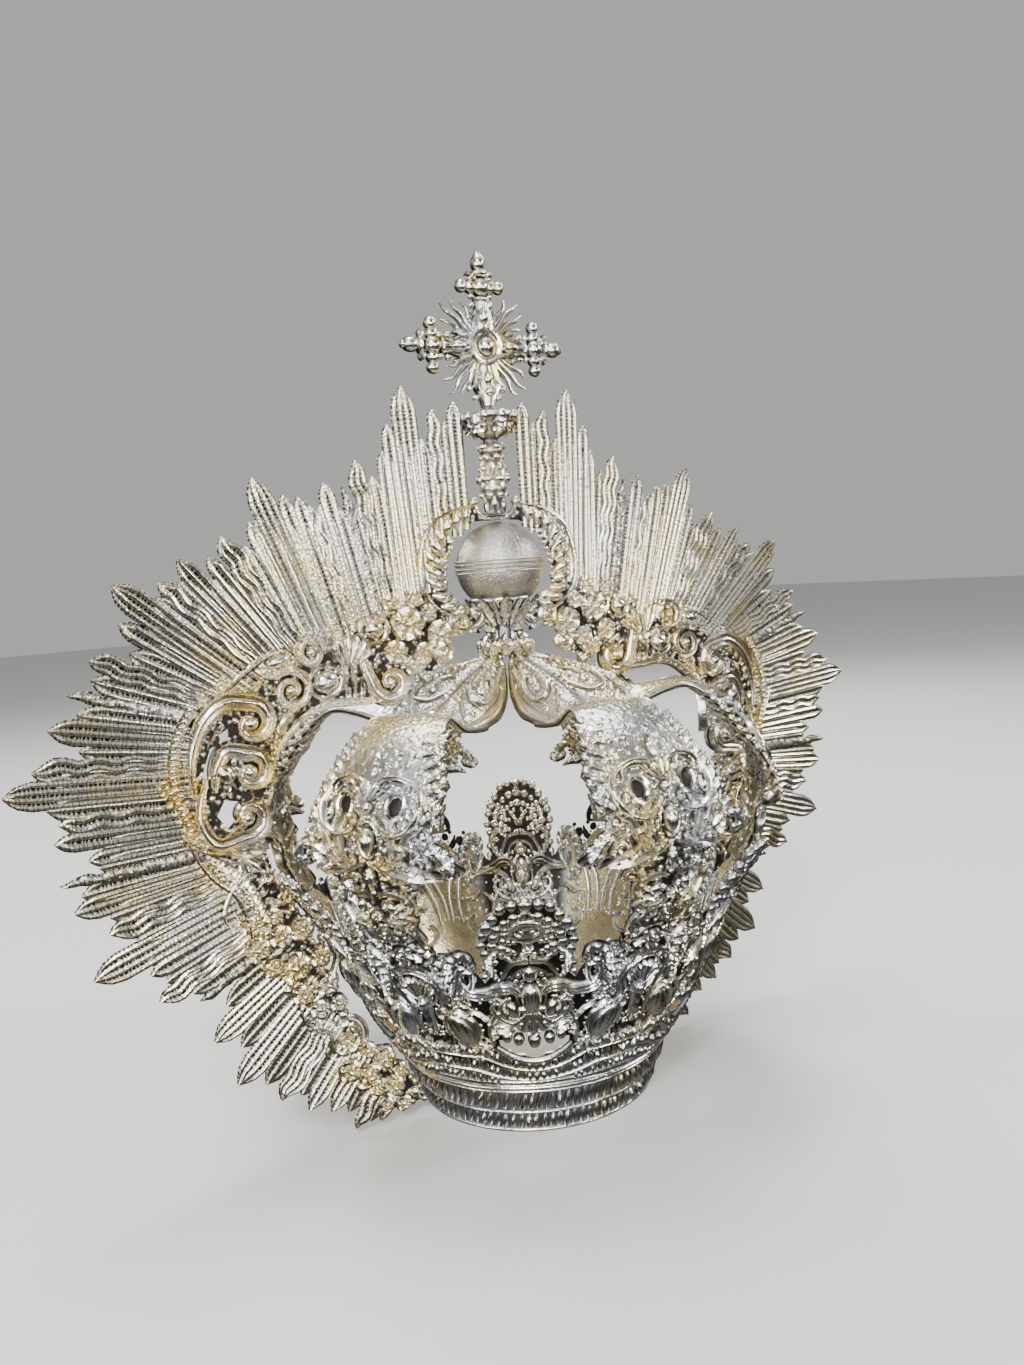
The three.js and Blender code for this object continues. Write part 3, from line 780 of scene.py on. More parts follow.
def flat_plate(name, outline, holes):
    """A plate cut to an outline, with holes, standing in the halo's plane."""
    data = bpy.data.curves.new(name, "CURVE")
    data.dimensions = "2D"
    data.fill_mode = "BOTH"
    data.extrude = PLATE / 2 * MM
    for loop in [outline, *holes]:
        spline = data.splines.new("POLY")
        spline.points.add(len(loop) - 1)
        for point, (x, z) in zip(spline.points, loop):
            point.co = (x * MM, z * MM, 0, 1)
        spline.use_cyclic_u = True
    obj = bpy.data.objects.new(name, data)
    bpy.context.collection.objects.link(obj)
    only(obj)
    bpy.ops.object.convert(target="MESH")
    obj = bpy.context.object
    bpy.ops.transform.rotate(value=math.radians(-90), orient_axis="X", center_override=(0, 0, 0))
    return added(name)


plate = flat_plate("halo_plate", BAND_OUTER + BAND_INNER, BAND_HOLES)
print("half plate:", len(plate.data.polygons), "faces")

# %% Both halves of the plate
modify(plate, "MIRROR", use_clip=True, use_mirror_merge=True, merge_threshold=0.0001)
edit(plate, bpy.ops.mesh.remove_doubles, threshold=0.00002)
edit(plate, bpy.ops.mesh.normals_make_consistent, inside=False)
plate.data.materials.append(GROUND_SILVER)
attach(plate, "root")
# A low rise paints the plate dark, as the shade between the ornament.
set_rise(plate, 0.38)
print("plate:", len(plate.data.polygons), "faces")

# %% [markdown]
# ## The basket's wall
# The basket is one flared sheet. A grid is bent round its profile so that its top row follows the crests,
# the pierced faces are deleted, and Solidify gives it the thickness of sheet. Its inside stays plain.

# %% The flare and the crests' outline
FLARE = [(0, 60), (10, 62.5), (27, 70), (46, 81.5), (56, 87), (74, 95), (92, 103), (112, 114), (134, 129)]
flare_line = through(FLARE, 0.5)
SHEET = 1.3
SECTOR = 60
CRESTS = (-150, -90, -30, 30, 90, 150)
ARCHES = {
    "arch_front": 0, "arch_front_right": 60, "arch_back_right": 120,
    "arch_back": 180, "arch_back_left": 240, "arch_front_left": 300,
}


def flare(z):
    """Outside radius of the basket at a height."""
    return np.interp(z, flare_line[:, 0], flare_line[:, 1])


def from_crest(x, y):
    """Degrees round the crown from the nearest crest's middle, -30 to 30."""
    return np.degrees(np.arctan2(x, -y)) % SECTOR - SECTOR / 2


def basket_at(azimuth):
    """Bench to basket: u is measured round the wall from an azimuth, v is the height."""
    def surface(u, z):
        r = flare(z)
        a = math.radians(azimuth) + u / r
        return np.stack([r * np.sin(a), -r * np.cos(a), z], 1)
    return surface


print(f"the basket flares from {flare(0):.0f} to {flare(FLARE[-1][0]):.0f} mm")

# %% The top edge: degrees from a crest's middle, and height there
RIM = [
    (0, 134), (1.5, 133.7), (3, 132.8), (4.5, 131), (6, 128), (7.5, 124), (8.9, 118.5), (9.9, 112),
    (10.2, 104), (10.6, 97), (11.8, 91.5), (13.2, 96), (14, 101), (15.5, 103.5), (17, 103), (18.6, 99.5),
    (20, 98), (21.5, 98), (23, 100), (24.6, 104), (26.3, 107), (28.2, 109), (30, 110),
]
print("the edge is lowest at", min(z for _, z in RIM), "mm")

# %% Bending the grid
LOW_ROWS = (0, 5, 10, 15, 20, 24, 27, 31, 35, 39, 43, 46, 48.5, 51, 53.5, 56, 58.5)
UPPER_ROWS = 20


def basket_wall():
    half = [angle for angle, _ in RIM]
    sector = [-angle for angle in half[:0:-1]] + half[:-1]
    angles = np.array([crest + angle for crest in CRESTS for angle in sector] + [180])
    columns, rows = len(angles), len(LOW_ROWS) + UPPER_ROWS
    deselect()
    bpy.ops.mesh.primitive_grid_add(x_subdivisions=columns - 1, y_subdivisions=rows - 1, size=1)
    wall = added("basket_wall")
    column = np.rint((points_of(wall)[:, 0] + 0.5) * (columns - 1)).astype(int)
    row = np.rint((points_of(wall)[:, 1] + 0.5) * (rows - 1)).astype(int)
    angle = angles[column]
    rim = np.interp(np.abs(angle % SECTOR - SECTOR / 2), *zip(*RIM))
    low = np.array(LOW_ROWS)[np.minimum(row, len(LOW_ROWS) - 1)]
    share = np.clip((row - len(LOW_ROWS) + 1) / UPPER_ROWS, 0, 1)
    z = np.where(share > 0, LOW_ROWS[-1] + (rim - LOW_ROWS[-1]) * share, low)
    r = flare(z)
    a = np.radians(angle)
    move_points(wall, np.stack([r * np.sin(a), -r * np.cos(a), z], 1) * MM)
    return wall


wall = basket_wall()
edit(wall, bpy.ops.mesh.remove_doubles, threshold=0.00001)
print("basket wall:", len(wall.data.polygons), "faces")

# %% Piercing it
SLOT_REACH = 16.5         # mm each side of the crest's middle
SLOT_TOP = 58.0
OPENING_TOP = 72.0        # the lambrequin hangs free in a wider opening above the slot
SMALL_EYE = (25.5, 51.5)  # a small round hole at each end of the slot
PEEPHOLE = (10.3, 92.0)   # and one beside the niche


def is_open(u, z):
    """Whether the wall is cut away, u mm from the crest's middle."""
    slot = u < SLOT_REACH and 46.5 + 8 * (u / SLOT_REACH) ** 2 < z < SLOT_TOP
    wide = u < 16 - 0.35 * abs(z - 66) and SLOT_TOP - 1 < z < OPENING_TOP - 3 * (u / 19) ** 2
    eye = math.dist((u, z), SMALL_EYE) < 2.6
    peephole = math.dist((u, z), PEEPHOLE) < 2.8
    return slot or wide or eye or peephole


def is_pierced(centre):
    x, y, z = np.array(centre) / MM
    return is_open(math.radians(abs(from_crest(x, y))) * flare(z), z)


pick(wall, is_pierced)
edit(wall, bpy.ops.mesh.delete, picked=True, type="FACE")
modify(wall, "SOLIDIFY", thickness=SHEET * MM, offset=-1)
print("pierced wall:", len(wall.data.polygons), "faces")

# %% The wall's finish
# Inside it is plain and painted golden, partly tarnish and partly a warm reflection, but the back of each
# crest gets the same painted shade in its hollows as the front. Outside, the ground between the chasing is
# painted dark as shade, less so below 40 mm.
x, y, height = points_of(wall).T / MM
inside = np.hypot(x, y) < flare(height) - SHEET / 2
behind = np.interp(np.abs(from_crest(x, y)), [13, 20], [1, 0]) * np.interp(height, [56, 62], [0, 1])
set_rise(wall, np.where(inside, 0.7 - 0.6 * behind, np.where(height < 40, 0.5, 0.1)))
smooth_by_angle(wall, 40)
wall.data.materials.append(BASKET_SILVER)
wall.data.materials.append(INSIDE_SILVER)
for face in wall.data.polygons:
    x, y, z = face.center / MM
    faces_in = face.normal.x * x + face.normal.y * y < -0.3 * math.hypot(x, y)
    if faces_in and (abs(from_crest(x, y)) > 17 or z < 56):
        face.material_index = 1
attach(wall, "root")
print("golden faces:", sum(face.material_index for face in wall.data.polygons))

# %% [markdown]
# ## The basket's base ring
# Round the foot run bands that the silversmith drew and soldered on: plain wires, two rows of upright
# pearls between them, and a hollow cornice.

# %% Bands round the foot
ring = Bench()


def level_line(z, count):
    """Places all round the wall at one height, the last over the first."""
    turn = np.linspace(-np.pi, np.pi, count)
    return np.stack([turn * flare(z), np.full(count, float(z))], 1)


def hoop(z, half, high, form="round"):
    ring.strip(level_line(z, 181), half, high, form, across=7)


def pearls(z, count, half, high, reach, seed):
    """A row of upright pearls, no two quite alike."""
    chance = random.Random(seed)
    for u, v in level_line(z, count + 1)[:-1]:
        u += chance.uniform(-0.35, 0.35)
        tall = reach * chance.uniform(0.7, 1.1)
        wide = half * chance.uniform(0.7, 1.1)
        lift = high * chance.uniform(0.6, 1.1)
        ring.strip(through([(u, v - tall), (u, v + tall)], reach / 2.6),
                   [wide * 0.35, wide * 0.9, wide, wide * 0.9, wide * 0.35],
                   [lift * 0.3, lift * 0.85, lift, lift * 0.85, lift * 0.3])


for z, half, high in ((1.0, 1.0, 1.2), (11.3, 0.9, 1.2), (24.6, 0.8, 1.3), (27.2, 0.8, 1.5)):
    hoop(z, half, high)
hoop(30.2, 1.9, 1.5, "rim")
pearls(5.8, 102, 1.75, 3.0, 4.5, seed=3)
pearls(17.8, 98, 1.9, 3.6, 5.4, seed=8)
base_ring = ring.make("base_ring", basket_at(0), BASKET_SILVER)

# %% [markdown]
# ## One crest
# Each of the six sectors carries the same chased design: garlands of pearls under the pierced slot, a
# lambrequin that hangs in it, an oval boss between two grooved arms, a niche of two arcs round a small boss,
# and a crown of knobs. Only its right half is laid.

# %% The garlands under the slot
def wavy_row(low, rise, reach, end):
    """A garland's line: lowest at the crest's middle, and level past its reach."""
    angle = np.linspace(0, end, 30)
    z = low + rise * np.minimum(angle / reach, 1) ** 2
    return even(np.stack([np.radians(angle) * flare(z), z], 1), 1.0)


def lay_pearl_row(bench, line, half, reach, pitch):
    """Upright pearls along a garland, no two quite alike."""
    chance = random.Random(17)
    for u, v in even(line, pitch)[:, :2]:
        tall = reach * chance.uniform(0.75, 1.15)
        high = half * chance.uniform(1.3, 1.9)
        bench.strip(through([(u, v - tall), (u + chance.uniform(-0.5, 0.5), v + tall)], reach / 2.4),
                    [half * 0.4, half, half, half * 0.4], [high * 0.3, high, high, high * 0.3])


def lay_crest_low(bench):
    """The slot's lower edge, three garlands under it, and the beaded ring of the small eye."""
    edge = np.linspace(0, SLOT_REACH + 1, 20)
    bench.strip(even(np.stack([edge, 45.4 + 8 * (edge / SLOT_REACH) ** 2], 1), 1.2), 1.5, 2.0)
    lay_pearl_row(bench, wavy_row(42.3, 9.5, 15, 29.5), 1.6, 2.9, 3.1)
    bench.strip(wavy_row(39.2, 9.0, 17, 30), 0.8, 1.4)
    lay_pearl_row(bench, wavy_row(35.0, 8.0, 19, 29.7), 1.5, 2.7, 3.0)
    bench.strip(wavy_row(32.6, 6.4, 22, 30), 0.7, 1.2)
    between = wavy_row(31.7, 3.1, 27, 29.7)
    lay_pearl_row(bench, between[between[:, 0] > 17], 1.3, 2.4, 2.8)
    bench.ring(SMALL_EYE, 4.3, 1.1)
    turn = np.linspace(0, 6.28, 40)
    bench.beads(SMALL_EYE + 6.2 * np.stack([np.cos(turn), np.sin(turn)], 1), 1.2, 2.6)


garland = Bench()
lay_crest_low(garland)
garland.mirror()
print("points in a garland:", garland.count)

# %% The lambrequin
# A crest is worked on both faces from here up, since it is seen from inside across the crown.
crest = Bench(both=True)


def lay_lambrequin(bench):
    bench.disc((12.2, 60), 2.4, 2.9, 2.6)
    bench.disc((7.0, 58.6), 2.7, 3.3, 3.0)
    bench.chase([(18.5, 56), (19.5, 64), (16, 73), (8, 75.5), (0, 76)], [1.4, 1.9, 1.7], 2.2)
    bench.strip(scroll((5, 64), (17, 66), "curl", -1), [0.6, 1.6, 1.9, 1.2], [1, 2.4, 2.2, 1.6], "rim",
                across=9)
    bench.strip(scroll((3, 72), (14, 77), "C", 1), [1.2, 1.7, 1.2], [1.6, 2.4, 1.8])
    bench.strip(scroll((11, 66), (27, 71), "S", 1), [1.2, 2.0, 1.2], [1.8, 2.8, 1.8], "leaf", ribs=9)
    bench.chase([(2, 75), (6, 70), (12, 64.5), (19, 63)], [0.7, 2.3, 2.6, 0.4], 2.2, "leaf", ribs=8,
                lobes=5)
    bench.chase([(15, 62), (19, 59), (23, 58)], [0.5, 1.9, 0.3], 2.0, "leaf", ribs=4)
    bench.strip(scroll((19, 55), (30, 61), "hook", 1), [0.7, 1.7, 1.5], 2.2, "rim", across=9)


lay_lambrequin(crest)
print("points in half the lambrequin:", crest.count)

# %% The crest's upper half: boss, arms, niche and hooks
def arc(centre, r, start, end):
    angle = np.radians(np.linspace(start, end, 40))
    return even(np.stack([centre[0] + r * np.cos(angle), centre[1] + r * np.sin(angle)], 1), 1.1)


def lay_crest_high(bench):
    # Grooved arms from the boss, and the curls beside it.
    arm = through([(4.5, 84.5), (8, 88.6), (13, 89.4), (18, 86.8), (24, 85.8), (29.5, 88), (32, 93.5)], 1.0)
    bench.strip(arm, [1.4, 3.2, 3.4, 3.2, 2.8, 1.4], [2.4, 3.8, 3.8, 3.4, 2.4], "ridge", ribs=3, lean=1,
                across=13)
    bench.disc((8.2, 76.5), 2.8, 5.2, 4.0, turn=-24, around=14)
    bench.chase([(5.4, 70.5), (11.5, 72.5), (13.4, 78.6), (10.5, 83.4)], [0.8, 1.6, 1.4, 0.8],
                [1.6, 3.0, 2.0])
    bench.strip(scroll((14.5, 78), (28, 80.5), "C", -1), [1.2, 2.4, 1.2], [2.0, 3.6, 2.0], "rim", across=9)
    bench.strip(scroll((29, 95.5), (33, 86), "C", 1), [1.0, 2.0, 1.0], 3.0)
    bench.chase([(26, 77), (31, 72), (37, 72.5)], [0.8, 2.8, 0.6], [1.6, 3.6, 1.4], "leaf", ribs=7)
    # The niche's arcs stand wide about the small boss.
    for reach, top, half, high in ((7.4, 100.2, 1.1, 2.6), (12.0, 104.2, 1.3, 3.2)):
        niche = [(reach, 93.0), (reach * 0.94, 96.5), (reach * 0.6, top - 1.2), (0.4, top)]
        bench.strip(through(niche, 1.2), [half * 0.6, half, half], [high * 0.7, high, high], "rim", across=9)
    # A ribbed curl closes the niche at each side, with knobs up the neck.
    bench.strip(through([(13.6, 92.5), (16.6, 97.5), (17.4, 103.6), (13.6, 107.6), (9.6, 105.6)], 0.7),
                [1.4, 2.0, 2.2, 2.0, 1.0], [2.4, 3.6, 3.6, 2.4], "rope", ribs=9, lean=0.25, across=9)
    knobs = [(19.4, 94.5, 0.4), (19.0, 99.5, 0.6), (18.6, 107.5, 0.6), (14.6, 102.2, 0), (8.6, 108.8, 0.6)]
    bench.grains(knobs, (2.0, 2.2, 2.3, 1.8, 2.1), BEAD)
    # A row of beads inside the crown of knobs.
    bench.beads(arc((0, 119.5), 9.2, -20, 88), 1.2, 2.5, lift=1.4)
    # The ribbed hook beside the crest, past the gap, and the feather behind it.
    hook = through([(26.4, 96), (25.4, 100.5), (28, 105.2), (32.6, 104.8), (36.2, 99.5), (37.2, 92), (36, 84),
                    (33, 78)], 0.7)
    bench.strip(hook, [1.6, 2.8, 3.2, 3.2, 2.6, 1.0], [2.4, 3.8, 3.8, 2.4], "rope", ribs=11, lean=0.25,
                across=9)
    feather = through([(39.5, 86), (40.6, 91), (42.6, 96), (44.4, 99.5)], 0.7)
    bench.strip(feather, [1.0, 2.2, 2.4, 0.8], [1.6, 2.6, 2.0], "rope", ribs=5, lean=0.3, across=9)
    for u, v in ((39.5, 60), (45.5, 62)):
        rod = through([(u, v), (u + 2.2, v + 13), (u + 0.6, v + 26), (u - 2.4, v + 36)])
        bench.strip(rod, [0.8, 1.7, 1.7, 0.8], [1.4, 2.6, 2.6, 1.4])
    bench.disc((30.0, 98.6), 2.6, 2.6, 3.0, around=14)


lay_crest_high(crest)
print("points in half the crest:", crest.count)

# %% The crown of knobs, and fine grains on the ground
def lay_dome(bench):
    """The crest's crown of knobs: three rows that follow its outline."""
    chance = random.Random(29)
    outline = np.array([(math.radians(angle) * flare(z), z) for angle, z in RIM if angle <= 10])
    foot = np.array((0, 108.0))
    for share, size in ((1.0, 2.7), (0.76, 2.5), (0.54, 2.1)):
        row = even(foot + (outline - foot) * share, 1.85 * size)
        for u, z in row[:, :2] + (0.3, 0):
            size_here = size * chance.uniform(0.8, 1.15)
            bench.grains([(u, z + chance.uniform(-0.7, 0.7), chance.uniform(0, 0.8))], size_here, BEAD)


def lay_filling(bench, box, keep, seed, pitch=3.2, size=(0.7, 1.25)):
    """Fine grains over the part of a box of ground that `keep` names, between the larger motifs."""
    chance = random.Random(seed)
    (u0, v0), (u1, v1) = box
    places, sizes = [], []
    for i in range(int((u1 - u0) / pitch)):
        for j in range(int((v1 - v0) / pitch)):
            u = u0 + (i + chance.random()) * pitch
            v = v0 + (j + chance.random()) * pitch
            if keep(u, v):
                places.append((u, v))
                sizes.append(chance.uniform(*size))
    bench.grains(places, sizes, GRAIN)


def crest_ground(u, v):
    edge = np.interp(math.degrees(u / flare(v)), *zip(*RIM))
    return v < edge - 0.5 and not is_open(u, v) and (v > OPENING_TOP or u > 18)


lay_dome(crest)
lay_filling(crest, ((0, 58), (46, 98)), crest_ground, seed=4, pitch=4.4, size=(1.1, 1.9))
lay_filling(crest, ((0, 103), (20, 120)), crest_ground, seed=6, pitch=3.4, size=(1.3, 1.9))
crest.mirror()
print("points in both halves:", crest.count)

# %% The pieces on the crest's middle line
def lay_lambrequin_middle(bench):
    bench.shell((0, 77), -90, 15.5, 105, 5, 3.0)
    bench.disc((0, 57.6), 3.1, 4.0, 3.4)
    bench.disc((0, 63.2), 3.6, 3.0, 2.6, petals=5)


def lay_crest_high_middle(bench):
    bench.disc((0, 83), 5.0, 8.6, 6.4, rings=7)
    bench.ring((0, 83), 6.3, 1.1, ry=10.0)
    bench.disc((0, 96), 3.8, 4.4, 4.2)
    bench.ring((0, 119.5), 7.0, 1.4, ry=4.8, lift=1.2)
    bench.chase([(0, 126.4), (0, 130), (0, 134.4)], [1.2, 2.4, 0.8], 3.2, "leaf", ribs=4)
    bench.disc((0, 110.6), 3.0, 2.4, 3.4, petals=5)


lay_lambrequin_middle(crest)
lay_crest_high_middle(crest)
for number, azimuth in enumerate(CRESTS, 1):
    piece = garland.make(f"garland_{number}", basket_at(azimuth), BASKET_SILVER)
    piece = crest.make(f"crest_{number}", basket_at(azimuth), BASKET_SILVER, sunk=SHEET / 2)

# %% [markdown]
# ## Under the arches
# Between two crests, where an arch comes down into the basket, the wall carries a domed cartouche, smooth
# spoon-shaped lobes and finely veined leaves.

# %% The panel under an arch
def lay_under_arch(bench):
    bench.disc((15.0, 64.5), 6.6, 10.2, 4.2, turn=24, rings=7, around=28)
    bench.strip(through([(19.5, 56), (22.8, 62), (22.0, 70), (16.5, 75.4), (9.5, 73)], 1.0),
                [0.5, 1.2, 1.6, 1.5, 0.7], [1.5, 2.8, 3.2, 2.2])
    bench.strip(scroll((6.5, 57), (8.5, 71.5), "C", 1), [0.9, 1.6, 0.9], 2.3, "rim", across=9)
    bench.strip(through([(14.5, 78), (17.5, 85), (21.5, 93), (24.5, 100)], 1.0), [1.0, 5.2, 5.6, 0.4],
                [1.4, 3.4, 3.0, 1], "leaf", ribs=13, lean=0.8, lobes=6, across=11)
    bench.strip(arc((0, 86), 13.2, -60, 86), [1.0, 1.7, 1.7, 1.2], [1.6, 2.8, 2.8], "rim", across=9)
    bench.strip(arc((0, 86), 9.4, -80, 89), 0.9, 2.0)
    bench.strip(scroll((9.5, 103.5), (3.0, 100.5), "hook", 1), [0.9, 1.8, 1.4], 2.6)
    bench.chase([(8.5, 101), (14, 103), (17.5, 108.5)], [0.8, 2.4, 0.3], 2.4, "leaf", ribs=6, lobes=4)
    bench.disc((19.6, 104.6), 3.0, high=2.6, petals=6)
    bench.disc((10.8, 108.0), 2.2, high=2.4)
    bench.grains([(5.0, 108.5), (15.0, 110.5), (23.5, 109), (14, 98.5)], 1.3, BEAD, lift=0.6)


def lay_under_arch_middle(bench):
    bench.shell((0, 79.5), 90, 13.5, 120, 7, 3.4)
    bench.disc((0, 78), 2.6, 3.2, 3.8)
    bench.chase([(0, 76), (0, 68), (0, 59)], [2.6, 3.0, 0.5], [3.2, 3.4, 1], "leaf", ribs=8, lobes=5)
    bench.disc((0, 105.5), 4.2, high=3.2, petals=6)
    bench.disc((0, 53.5), 3.6, 3.0, 3.0, petals=5)


CARTOUCHE_TOP = 108
under_arch = Bench()
lay_under_arch(under_arch)
lay_filling(under_arch, ((0, 58), (26, CARTOUCHE_TOP)), lambda u, v: v < CARTOUCHE_TOP, seed=9)
under_arch.mirror()
lay_under_arch_middle(under_arch)
for name, azimuth in ARCHES.items():
    piece = under_arch.make(name.replace("arch", "cartouche"), basket_at(azimuth), BASKET_SILVER)
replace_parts(wall, "basket")

# %% [markdown]
# ## The arches
# An arch is a strip of sheet: narrow where it leaves the basket, swelling to a broad chased panel, then a
# plain bowed ribbon, and a bell-shaped leaf that stands under the globe. The stations give its edge line's
# radius and height, half its width, and how far its middle bulges out.

# %% Stations of an arch
# Radius and height of the edges, half the width, and radius and height of the ridge down the middle.
STATIONS = [
    (112, 111, 11, 112.4, 110.7), (117.8, 119, 14, 119.5, 118.4), (121.5, 128, 16, 124.4, 127.4),
    (123, 137, 17, 126.5, 136.5), (125, 145, 20, 126.8, 144.8), (132, 152.5, 35, 126.8, 152.6),
    (130.5, 162, 32, 126.8, 163.2), (126, 172, 32, 124.5, 174.5), (117, 183, 31, 119.5, 186),
    (109.5, 193, 27, 112.5, 196), (101.5, 201, 23.5, 103.3, 203.4), (91, 206.5, 20, 91.3, 208),
    (78, 203.5, 15, 78, 207.4), (65, 197.8, 12.5, 65.4, 206.4), (54, 196.2, 13, 56, 210.5),
    (44, 196.8, 13.6, 47, 214.5), (35, 198, 13, 38, 218), (26, 199.8, 10.8, 30, 221),
    (19.5, 202.7, 8.6, 23, 223.5), (14.2, 205.7, 6.9, 17.5, 225.5), (10.8, 208.8, 5.3, 13.5, 226.8),
    (9, 213.5, 4.5, 10.8, 227.4), (7.2, 219, 1.9, 8.4, 227.6), (5.6, 226, 1.8, 6.3, 228.2),
]
station_line = through(STATIONS, 1.0)
legs = np.linalg.norm(np.diff(station_line[:, :2], axis=0), axis=1)
reach_along = np.r_[0, np.cumsum(legs)]
ARCH_LENGTH = reach_along[-1]
SUMMIT = int(np.argmax(np.diff(station_line[:, 1]) < 0))
WIDEST = int(np.argmax(station_line[:, 0]))
print(f"an arch is {ARCH_LENGTH:.0f} mm long")

# %% Places along an arch
def rising_to(height):
    """Length along the arch at which its edge line first reaches a height."""
    return float(np.interp(height, station_line[:SUMMIT, 1], reach_along[:SUMMIT]))


def coming_in_to(radius):
    """Length along the arch at which its edge line has come in to a radius."""
    return float(np.interp(-radius, -station_line[WIDEST:, 0], reach_along[WIDEST:]))


def arch_half(v):
    return np.interp(v, reach_along, station_line[:, 2])


def arch_at(azimuth):
    """Bench to arch: u is measured across from its middle, v is the length along it."""
    def surface(u, v):
        r, z, half, ridge_r, ridge_z = (np.interp(v, reach_along, column) for column in station_line.T)
        share = np.cos(np.pi / 2 * np.clip(u / half, -1.2, 1.2))
        a = math.radians(azimuth) + u / r
        radius = r + (ridge_r - r) * share
        return np.stack([radius * np.sin(a), -radius * np.cos(a), z + (ridge_z - z) * share], 1)
    return surface


PANEL = (rising_to(147), rising_to(201))
RIBBON = (coming_in_to(97), coming_in_to(54))
FOOT = (coming_in_to(54), ARCH_LENGTH)
print("panel", np.round(PANEL), "ribbon", np.round(RIBBON), "foot", np.round(FOOT))

# %% [markdown]
# ## An arch's sheet
# The sheet itself is a grid whose rows are stretched to a leafy outline, and Solidify makes it a wall. Low
# down its inner face is plain and painted golden, as a warm reflection and partly tarnish.

# %% The sheet
ARCH_SHEET = 1.1
ARCH_COLUMNS = 16
ARCH_ROWS = 88
EYE_ROW = PANEL[0] + 29.5
EYE_OUT = 13.0
# How bright the sheet is along the arch: painted shade under the panel's chasing, and clean and polished on
# the ribbon.
ARCH_POLISH_AND_SHADE = [
    (0, 0.15), (PANEL[0], 0.15), (PANEL[0] + 8, 0.35), (PANEL[1] - 14, 0.5), (RIBBON[0], 0.95),
    (RIBBON[1], 0.95), (FOOT[0] + 8, 0.6), (ARCH_LENGTH, 0.6),
]


def leafy_half(v):
    """Half the sheet's width: the panel's edge is cut into small leaves."""
    in_panel = np.clip((v - PANEL[0] + 6) / 5, 0, 1) * np.clip((PANEL[1] + 8 - v) / 6, 0, 1)
    return arch_half(v) - in_panel * (1.7 + 1.7 * np.cos(2 * np.pi * v / 9.5))


def paint_inside_warm(sheet, azimuth):
    """The lower inner face is painted plain golden, as a warm reflection and partly tarnish."""
    outward = Vector((math.sin(math.radians(azimuth)), -math.cos(math.radians(azimuth)), 0))
    for face in sheet.data.polygons:
        if face.normal.dot(outward) < -0.2 and face.center.z < 0.150:
            face.material_index = 1


def arch_sheet(name, azimuth):
    deselect()
    bpy.ops.mesh.primitive_grid_add(x_subdivisions=ARCH_COLUMNS, y_subdivisions=ARCH_ROWS, size=2)
    sheet = added(name)
    flat = points_of(sheet)
    v = (flat[:, 1] + 1) / 2 * ARCH_LENGTH
    u = flat[:, 0] * leafy_half(v)
    flat[:, :2] = np.stack([u, v], 1)
    move_points(sheet, flat)
    u, v, _ = points_of(sheet).T
    set_rise(sheet, np.interp(v, *zip(*ARCH_POLISH_AND_SHADE)))
    move_points(sheet, arch_at(azimuth)(u, v) * MM)
    modify(sheet, "SOLIDIFY", thickness=ARCH_SHEET * MM, offset=-1)
    smooth_by_angle(sheet, 45)
    sheet.data.materials.append(PANEL_SILVER)
    sheet.data.materials.append(INSIDE_SILVER)
    paint_inside_warm(sheet, azimuth)
    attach(sheet, "root")
    return sheet


for name, azimuth in ARCHES.items():
    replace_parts(arch_sheet(name + "_sheet", azimuth), name)
print("sheets:", len(ARCHES))

# %% [markdown]
# ## An arch's chasing
# The panel is the richest part of the crown: a ribbed shell above a smooth oval boss, two framed eyes that
# are deep hollows painted black as shade, ribbed scrolls down both sides, a ground of knobs, and a fringe of
# small leaves. The bell-shaped foot has a plain raised rim round spiral leaves.

